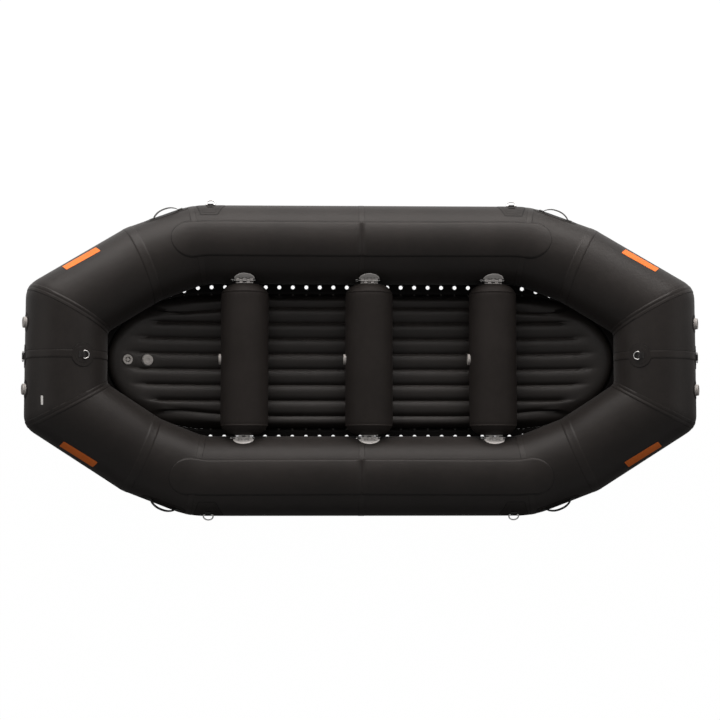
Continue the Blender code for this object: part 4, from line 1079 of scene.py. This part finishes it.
for thwart, x in thwart_xs.items():
    for side, side_sign in sides.items():
        quarter = quarters["bow" if x < 0 else "stern", side]
        way = -1 if x < 0 else 1
        pin_place = quarter.frame_on(0, abs(x), pin_angle, -facet_drop)

        def on_tube(u, v, height):
            return quarter.on_leg(0, abs(x) + way * u, pin_angle - v / tube_radius, height)

        squeezed = (leaf_radius - leaf_setback) / leaf_radius
        half_round = flat_arc(0, 0, leaf_radius, 0, math.pi, 36)
        outline = rounded_flat([(u, v * squeezed + leaf_setback) for u, v in half_round], 16)
        mesh = patch_mesh("leaf", on_tube, outline, leaf_thick, bevel=0.0011, cement=0.0018)
        up = 1 if pin_place.col[1].z > 0 else -1
        pieces = [(tidy_mesh(mesh), Matrix())]
        for start, stop in knuckle_spans((0, 2, 4)):
            pieces.append((knuckle_mesh(start, stop), pin_place @ Matrix.Translation((0, 0, pin_off_tube))))
            near, far = sorted((up * knuckle_radius * 0.55, up * (leaf_setback + leaf_thick)))
            arm = soft_box("arm", (start + knuckle_gap, near, 0.0008), (stop - knuckle_gap, far, pin_off_tube))
            pieces.append((arm, pin_place))
        leaf = put(
            f"{thwart}_{side}_tube_leaf", joined_mesh("leaf", pieces), grey_plastic, "hinge_plastic",
            stands_for=[f"{thwart}_thwart_hinge_leaf_{side}"], sharp=45,
        )
        leaf.data.materials.append(cement_line)
        # painted shade: the slots are dark bars on the leaf's face, not holes
        slots = []
        for number in range(leaf_slots):
            u = (number - (leaf_slots - 1) / 2) * slot_pitch
            bar = soft_box("slot", (-0.0058, -0.0016, -0.0010), (0.0058, 0.0016, 0.0010), 0.0007)
            slot_angle = pin_angle - slot_rise / tube_radius
            spot = quarter.frame_on(0, abs(x) + way * u, slot_angle, leaf_thick - 0.0004)
            slots.append((bar, spot))
        put(f"{thwart}_{side}_leaf_slots", joined_mesh("slots", slots), recess_painted_shade, "hinge_plastic")
        length = knuckle_count * knuckle_length + 2 * rod_tail
        ease = 0.0006
        profile = [(0.0002, 0), (rod_radius - ease, 0), (rod_radius, ease)]
        profile += [(rod_radius, length - ease), (rod_radius - ease, length), (0.0002, length)]
        rod = turned("rod", profile, 20)
        rod.transform(Matrix.Rotation(math.pi / 2, 4, "Y"))
        start = Matrix.Translation((x - length / 2, side_sign * pin_y, pin_z))
        up_tube = axis_of(pin_place, 1) * up
        eye_points = circle(Vector((-rod_eye_radius, 0, 0)), rod_eye_radius, 32, Vector((1, 0, 0)), up_tube)
        eye = wire_mesh("eye", eye_points, rod_eye_wire, Vector((1, 0, 0)).cross(up_tube))
        rod_mesh = tidy_mesh(joined_mesh("rod", [(rod, start), (eye, start)]))
        rod_name = f"{thwart}_thwart_hinge_rod_{side}"
        put(
            f"{thwart}_{side}_pin_rod", rod_mesh, steel, "rod_steel",
            body=f"{rod_name}_body", stands_for=[rod_name], sharp=50,
        )


# D-ring patches on the sides: a wide trapezoid of coated fabric with a smaller one glued over it,
# and a webbing loop sewn down on both sides of the ring's bar. The rings swing in their loops.
side_ring_x, side_ring_angle = 0.967, math.radians(22.5)
patch_base, patch_top, patch_up, patch_down, top_patch_thick = 0.087, 0.052, 0.125, 0.040, 0.0021
ring_wire, ring_half, ring_straight, ring_lift = 0.0042, 0.0305, 0.012, 0.0105
loop_half, loop_clearance, loop_thick = 0.019, 0.0007, 0.0016
side_droop, end_droop = 62.0, 84.0
patch_fabric = coated_fabric("patch_fabric", (0.0125, 0.0104, 0.0095), (0.0175, 0.0148, 0.0136), 0.46)


def webbing(name, dark, light, gloss):
    """Woven strap: ribs across it, a diagonal twill in them and fuzz on top."""
    paint = Paint(name, Specular_IOR_Level=0.15, Sheen_Weight=0.15, Sheen_Roughness=0.6)
    place = paint.node("TexCoord", {}, {}, "Object")
    laid = paint.node("TexCoord", {}, {}, "UV")
    ribs = paint.bands(laid, 160.0, "X")
    twill = paint.bands(laid, 210.0, "DIAGONAL")
    fuzz = paint.noise(place, 700.0, 3)
    cloud = paint.noise(place, 24.0, 4, 0.6)
    tone = paint.mix(ribs * 0.5 + twill * 0.3 + cloud * 0.2, dark, light)
    return paint.finish(tone, gloss + (fuzz - 0.5) * 0.15, ribs * 0.7 + twill * 0.4 + fuzz * 0.3, 0.0004)


strap_cloth = webbing("strap_cloth", (0.0045, 0.0040, 0.0038), (0.0110, 0.0098, 0.0092), 0.78)
thread = webbing("sewing_thread", (0.020, 0.018, 0.017), (0.036, 0.033, 0.031), 0.7)


def strap_mesh(name, points, across, width, thick):
    """A flat strap along points, its width along one direction, with rounded edges."""
    rows, half, ease = [], width / 2, thick * 0.35
    for k, point in enumerate(points):
        ahead = points[min(k + 1, len(points) - 1)] - points[max(k - 1, 0)]
        out = ahead.cross(across).normalized()
        section = [(-half, 0), (-half + ease, -thick / 2), (0, -thick / 2), (half - ease, -thick / 2)]
        section += [(half, 0), (half - ease, thick / 2), (0, thick / 2), (-half + ease, thick / 2)]
        rows.append([point + across * a + out * b for a, b in section])
    return skin(name, rows, wrap=True, capped=True)


def stitching(name, lines, pitch=0.0046, length=0.0030, thick=0.00045):
    """Rows of small raised stitches along straight lines, each line with its outward direction."""
    points, faces = [], []
    for start, stop, out in lines:
        run = stop - start
        count = max(int(run.length / pitch), 1)
        along = run.normalized()
        beside = along.cross(out).normalized()
        for number in range(count):
            middle = start + run * ((number + 0.5) / count)
            first = len(points)
            points += [middle - along * length / 2, middle + along * length / 2]
            points += [middle + beside * thick, middle + out * thick, middle - beside * thick, middle - out * thick]
            for k in range(4):
                m = (k + 1) % 4
                faces += [(first, first + 2 + k, first + 2 + m), (first + 1, first + 2 + m, first + 2 + k)]
    mesh = bpy.data.meshes.new(name)
    mesh.from_pydata([tuple(p) for p in points], [], faces)
    mesh.uv_layers.new(name="UVMap")
    return mesh


def sewn_box(place, corners, top, out):
    """Lines of stitches round a box and across it both ways."""
    spots = [place @ Vector((*corner, top)) for corner in corners]
    return [(spots[a], spots[b], out) for a, b in ((0, 1), (1, 2), (2, 3), (3, 0), (0, 2), (1, 3))]


def loop_meshes(place, seat_height):
    """The webbing loop over a ring's bar and its stitches, on a frame whose X is along the bar."""
    size = ring_wire + loop_clearance + loop_thick / 2
    foot, low = 0.030, seat_height + loop_thick / 2
    leg = [(foot, low), (foot * 0.7, low), (foot * 0.48, low + 0.0003)]
    leg += [(size + 0.0030, low + 0.0016), (size + 0.0004, ring_lift - size * 0.55)]
    profile = leg + flat_arc(0, ring_lift, size, math.radians(-15), math.radians(195), 14)
    profile += [(-y, z) for y, z in reversed(leg)]
    across, out = axis_of(place, 0), axis_of(place, 2)
    points = [place @ Vector((0, y, z)) for y, z in profile]
    strap = strap_mesh("loop", points, across, 2 * loop_half, loop_thick)
    lines, top = [], low + loop_thick / 2
    for way in (1, -1):
        near, far, side = way * foot * 0.50, way * foot * 0.90, loop_half - 0.003
        lines += sewn_box(place, [(-side, near), (side, near), (side, far), (-side, far)], top, out)
    return strap, stitching("stitches", lines)


def ring_points(size=1.0):
    """The D of a ring in its own plane: a straight bar, two tight corners and a round bow."""
    corner = ring_straight / 2
    bar_half = ring_half - corner
    found = [(-bar_half + 2 * bar_half * k / 8, 0) for k in range(8)]
    found += flat_arc(bar_half, corner, corner, -math.pi / 2, 0, 7)
    found += flat_arc(0, ring_straight, ring_half, 0, math.pi, 28)
    found += flat_arc(-bar_half, corner, corner, math.pi, math.pi * 1.5, 7)
    return [(a * size, b * size) for a, b in found[:-1]]


def put_looped_ring(name, place, seat_height, droop, size=1.0):
    """A webbing loop and, in it, a forged ring at rest on the body that swings with it."""
    strap, stitches = loop_meshes(place, facet_drop + seat_height)
    put(f"{name}_loop", tidy_mesh(strap), strap_cloth, "webbing", sharp=50)
    put(f"{name}_loop_stitches", stitches, thread, "webbing")
    down = -1 if place.col[1].z > 0 else 1
    bar = place @ Matrix.Translation((0, 0, ring_lift)) @ Matrix.Rotation(-down * math.radians(droop), 4, "X")
    points = [Vector((a, 0, b)) for a, b in ring_points(size)]
    mesh = wire_mesh("ring", points, ring_wire * size, Vector((0, 1, 0)), around=16)
    mesh.transform(bar)
    put(name + "_forged", tidy_mesh(mesh), steel, "ring_steel", body=f"{name}_body", stands_for=[name], sharp=60)


def even_outline(right, radius):
    """An outline from the points up its right side, the same on its left, with round corners."""
    left = [(-u, v) for u, v in reversed(right)]
    return rounded_outline(left[-1:] + right + left[:-1], radius)


for (end, side), quarter in quarters.items():
    name = f"{end}_{side}_d_ring"

    def beside_ring(u, v, height):
        return quarter.at(0, side_ring_x + u, side_ring_angle + v / tube_radius, height)

    outer = even_outline([(patch_base, -patch_down), (patch_base, 0), (patch_top, patch_up)], 0.012)
    base = patch_mesh("patch", beside_ring, outer, 0.0012, cement=0.0060)
    put_patch(f"{name}_base_patch", base, patch_fabric, stands_for=[f"{name}_patch"])
    inset = 0.016
    inner = [(patch_base - inset, -patch_down + inset), (patch_base - inset * 1.3, 0.002)]
    inner = even_outline(inner + [(patch_top - inset * 0.9, patch_up - inset)], 0.010)
    top = patch_mesh("patch", beside_ring, inner, top_patch_thick, low=0.0010, cement=0.0034)
    put_patch(f"{name}_top_patch", top, patch_fabric)
    place = quarter.frame_on(0, side_ring_x, side_ring_angle, -facet_drop)
    put_looped_ring(name, place, top_patch_thick, side_droop)


# The middle of each end: a wide tape over the joint of the two chambers, with a round patch, a
# webbing loop and a D-ring on the tube's outer face and another on its inboard top.
tape_width, tape_shift, disc_radius, top_disc_thick, top_ring_size = 0.046, 0.006, 0.072, 0.0036, 0.78
end_seats = [("outer", math.radians(11.25)), ("top", math.radians(123.75))]


def round_outline(radius):
    return flat_arc(0, 0, radius, 0, math.tau, 64)[:-1]


for end in ends:
    quarter = quarters[end, "starboard"]
    rows = []
    for step in range(49):
        angle = math.pi * step / 48
        half = tape_width / 2
        section = [(-half - cement_width, 0.0004), (-half, 0.0006), (-half, 0.0014), (-half + 0.0006, 0.0017)]
        section += [(u * half, 0.0017) for u in (-0.5, 0, 0.5)]
        section += [(half - 0.0006, 0.0017), (half, 0.0014), (half, 0.0006), (half + cement_width, 0.0004)]
        rows.append([quarter.on_leg(3, corner_y - tape_shift + u, angle, h) for u, h in section])
    mesh = skin("tape", rows)
    for polygon in mesh.polygons:
        polygon.material_index = 1 if polygon.index % 10 in (0, 9) else 0
    put_patch(f"{end}_middle_tape", mesh, tape_fabric, stands_for=[f"{end}_centre_tape"])
    for seat, angle in end_seats:
        name = f"{end}_{seat}_d_ring"

        def round_ring(u, v, height):
            return quarter.on_leg(3, corner_y + u, angle + v / tube_radius, height)

        discs = [(disc_radius, 0.0028, 0.0006), (disc_radius * 0.72, top_disc_thick, 0.0026)]
        for number, (size, thick, low) in enumerate(discs):
            disc = patch_mesh("disc", round_ring, round_outline(size), thick, low=low, cement=0.0038)
            put_patch(f"{name}_disc_{number}", disc, patch_fabric)
        place = quarter.frame_on(3, corner_y, angle, -facet_drop)
        put_looped_ring(name, place, top_disc_thick, end_droop, size=top_ring_size if seat == "top" else 1.0)


# The carry handles on the shoulders: a long oval patch with a strap of webbing sewn down at its
# two feet and standing off between them for a hand.
handle_place, handle_angle = 0.1302, math.radians(22.5)
handle_half, handle_foot, handle_bulge, handle_width, handle_thick = 0.0865, 0.024, 0.034, 0.038, 0.003
oval_half, oval_tall, seam_edge = 0.139, 0.036, 0.003
for (end, side), quarter in quarters.items():
    name = f"{end}_{side}_carry_handle"

    def by_handle(u, v, height):
        return quarter.at(1, handle_place + u, handle_angle + v / tube_radius, height)

    outline, flat_half = [], oval_half - oval_tall
    for way in (1, -1):
        outline += [(way * flat_half * (k / 7 - 1), -way * oval_tall) for k in range(14)]
        start = -way * math.pi / 2
        outline += flat_arc(way * flat_half, 0, oval_tall, start, start + math.pi, 16)[:-1]
    put_patch(f"{name}_patch", patch_mesh("patch", by_handle, outline, 0.0013, cement=0.0080), patch_fabric)
    place = quarter.frame_on(1, handle_place, handle_angle, -facet_drop)
    across, out = axis_of(place, 1), axis_of(place, 2)
    low = facet_drop + 0.0012 + handle_thick / 2
    profile = []
    for step in range(53):
        x = -handle_half - handle_foot + 2 * (handle_half + handle_foot) * step / 52
        share = abs(x) / handle_half
        lift = handle_bulge * (1 - share**2.4) if share < 1 else 0
        ease = 1 - math.exp(-(((1 - share) / 0.07) ** 2)) if share < 1 else 0
        profile.append(Vector((x, 0, low + lift * ease)))
    strap = strap_mesh("strap", [place @ p for p in profile], across, handle_width, handle_thick * 0.9)
    put(f"{name}_strap", tidy_mesh(strap), strap_cloth, "webbing", stands_for=[name], sharp=50)
    lines, top = [], low + handle_thick * 0.45
    for way in (1, -1):
        near, far = way * (handle_half + 0.002), way * (handle_half + handle_foot - 0.002)
        edge = handle_width / 2 - seam_edge
        lines += sewn_box(place, [(near, -edge), (near, edge), (far, edge), (far, -edge)], top, out)
    for edge in (-1, 1):
        for first, second in zip(profile[7:45], profile[8:46]):
            rim = Vector((0, edge * (handle_width / 2 - seam_edge), handle_thick * 0.45))
            lines.append((place @ (first + rim), place @ (second + rim), out))
    put(f"{name}_stitches", stitching("stitches", lines), thread, "webbing")


# The valves: moulded flanged barrels with screw caps in the chambers, the floor and the thwarts,
# each chamber's on a round boot of coated fabric, and the floor's relief valve.
flange_radius, flange_thick, barrel_radius, barrel_length, bore_radius = 0.037, 0.007, 0.020, 0.030, 0.014
cap_radius, cap_height, plug_radius, plug_length, seat_gap = 0.0345, 0.012, 0.0135, 0.008, 0.0003
boot_radius, chamber_valve_inset, chamber_valve_angle = 0.056, 0.208, math.radians(22.5)
valve_top = seat_gap + flange_thick
body_profile = [
    (bore_radius, valve_top), (flange_radius - 0.0022, valve_top), (flange_radius - 0.0006, valve_top - 0.0008),
    (flange_radius, valve_top - 0.0024), (flange_radius, seat_gap), (barrel_radius, seat_gap),
    (barrel_radius, seat_gap - barrel_length), (bore_radius, seat_gap - barrel_length), (bore_radius, valve_top),
]
cap_seat = valve_top + seat_gap
cap_top = cap_seat + cap_height
cap_profile = [
    (0.0002, cap_top - 0.0016), (0.0095, cap_top - 0.0016), (0.0105, cap_top - 0.0004), (0.0120, cap_top),
    (0.0215, cap_top), (0.0222, cap_top - 0.0010), (0.0240, cap_top - 0.0010), (0.0247, cap_top),
    (cap_radius - 0.0030, cap_top), (cap_radius - 0.0010, cap_top - 0.0010), (cap_radius, cap_top - 0.0032),
    (cap_radius, cap_seat + 0.0012), (cap_radius - 0.0006, cap_seat), (plug_radius, cap_seat),
    (plug_radius, cap_seat - plug_length), (0.0002, cap_seat - plug_length),
]
pale_plastic = moulded_plastic("pale_plastic", (0.40, 0.375, 0.355), (0.50, 0.475, 0.455), 0.38)
valve_places = []
for (end, side), quarter in quarters.items():
    from_corner = corner_y - chamber_valve_inset
    place = quarter.frame_on(3, from_corner, chamber_valve_angle, -facet_drop)
    valve_places.append((f"chamber_{end}_{side}", place))

    def by_valve(u, v, height):
        return quarter.on_leg(3, from_corner + u, chamber_valve_angle + v / tube_radius, height)

    boot = patch_mesh("boot", by_valve, round_outline(boot_radius), 0.0011)
    put_patch(f"chamber_{end}_{side}_boot", boot, patch_fabric)


def floor_frame(x, pocket):
    """A frame on the bow half of the floor's middle rib, square to its slope."""
    outward = Vector((kick_slope, 0, 1)).normalized()
    origin = Vector((-x, 0, floor_z + kick(x) + rib_crest)) - outward * pocket
    return Matrix.Translation(origin) @ square_axes(Vector((0, 1, 0)), outward)


valve_places.append(("floor", floor_frame(floor_valve_x, floor_valve_sink)))
seat = thwart_radius * math.cos(math.pi / 20) - 0.0055
bow_facing = square_axes(Vector((0, 1, 0)), Vector((-1, 0, 0)))
for thwart, x in thwart_xs.items():
    valve_places.append((f"{thwart}_thwart", Matrix.Translation((x - seat, 0, thwart_z)) @ bow_facing))
for name, place in valve_places:
    body = turned("body", body_profile, 64)
    body.transform(place)
    put(
        f"{name}_valve_flange", tidy_mesh(body), pale_plastic, "valve_plastic",
        stands_for=[f"{name}_valve_body"], sharp=35,
    )
    cap = turned("cap", cap_profile, 96, flutes=24, flute_depth=0.0008, fluted=(10, 11))
    cap.transform(place)
    put(
        f"{name}_valve_lid", tidy_mesh(cap), pale_plastic, "cap_plastic",
        body=f"{name}_valve_cap_body", stands_for=[f"{name}_valve_cap"], sharp=35,
    )
relief_place = floor_frame(relief_x, 0) @ Matrix.Translation((0, 0, seat_gap - relief_sink))
relief_profile = [
    (0.0110, 0.0018), (0.0175, 0.0018), (0.0175, 0.0082), (0.0183, 0.0090), (0.0305, 0.0090),
    (0.0318, 0.0078), (0.0320, 0.0060), (0.0320, 0), (0.0110, 0), (0.0110, 0.0018),
]
dot_profile = [(0.0002, 0.0066), (0.0100, 0.0066), (0.0110, 0.0058), (0.0110, 0), (0.0002, 0)]
parts = [turned("ring", relief_profile, 64), turned("dot", dot_profile, 48)]
parts += [soft_box("spoke", (-u, -v, 0), (u, v, 0.0050)) for u, v in ((0.0180, 0.0018), (0.0018, 0.0180))]
relief = tidy_mesh(joined_mesh("relief", [(part, relief_place) for part in parts]))
put("relief_valve_ring", relief, pale_plastic, "valve_plastic", stands_for=["floor_relief_valve"], sharp=35)
# painted shade: a dark disc at the bottom of the relief valve's ring stands for the shade in its opening
well_profile = [(0.0002, 0.0004), (0.0177, 0.0004), (0.0177, 0.0022), (0.0002, 0.0022)]
well = turned("well", well_profile, 48)
well.transform(relief_place)
put("relief_valve_well_shade", tidy_mesh(well), recess_painted_shade, "valve_plastic", sharp=35)
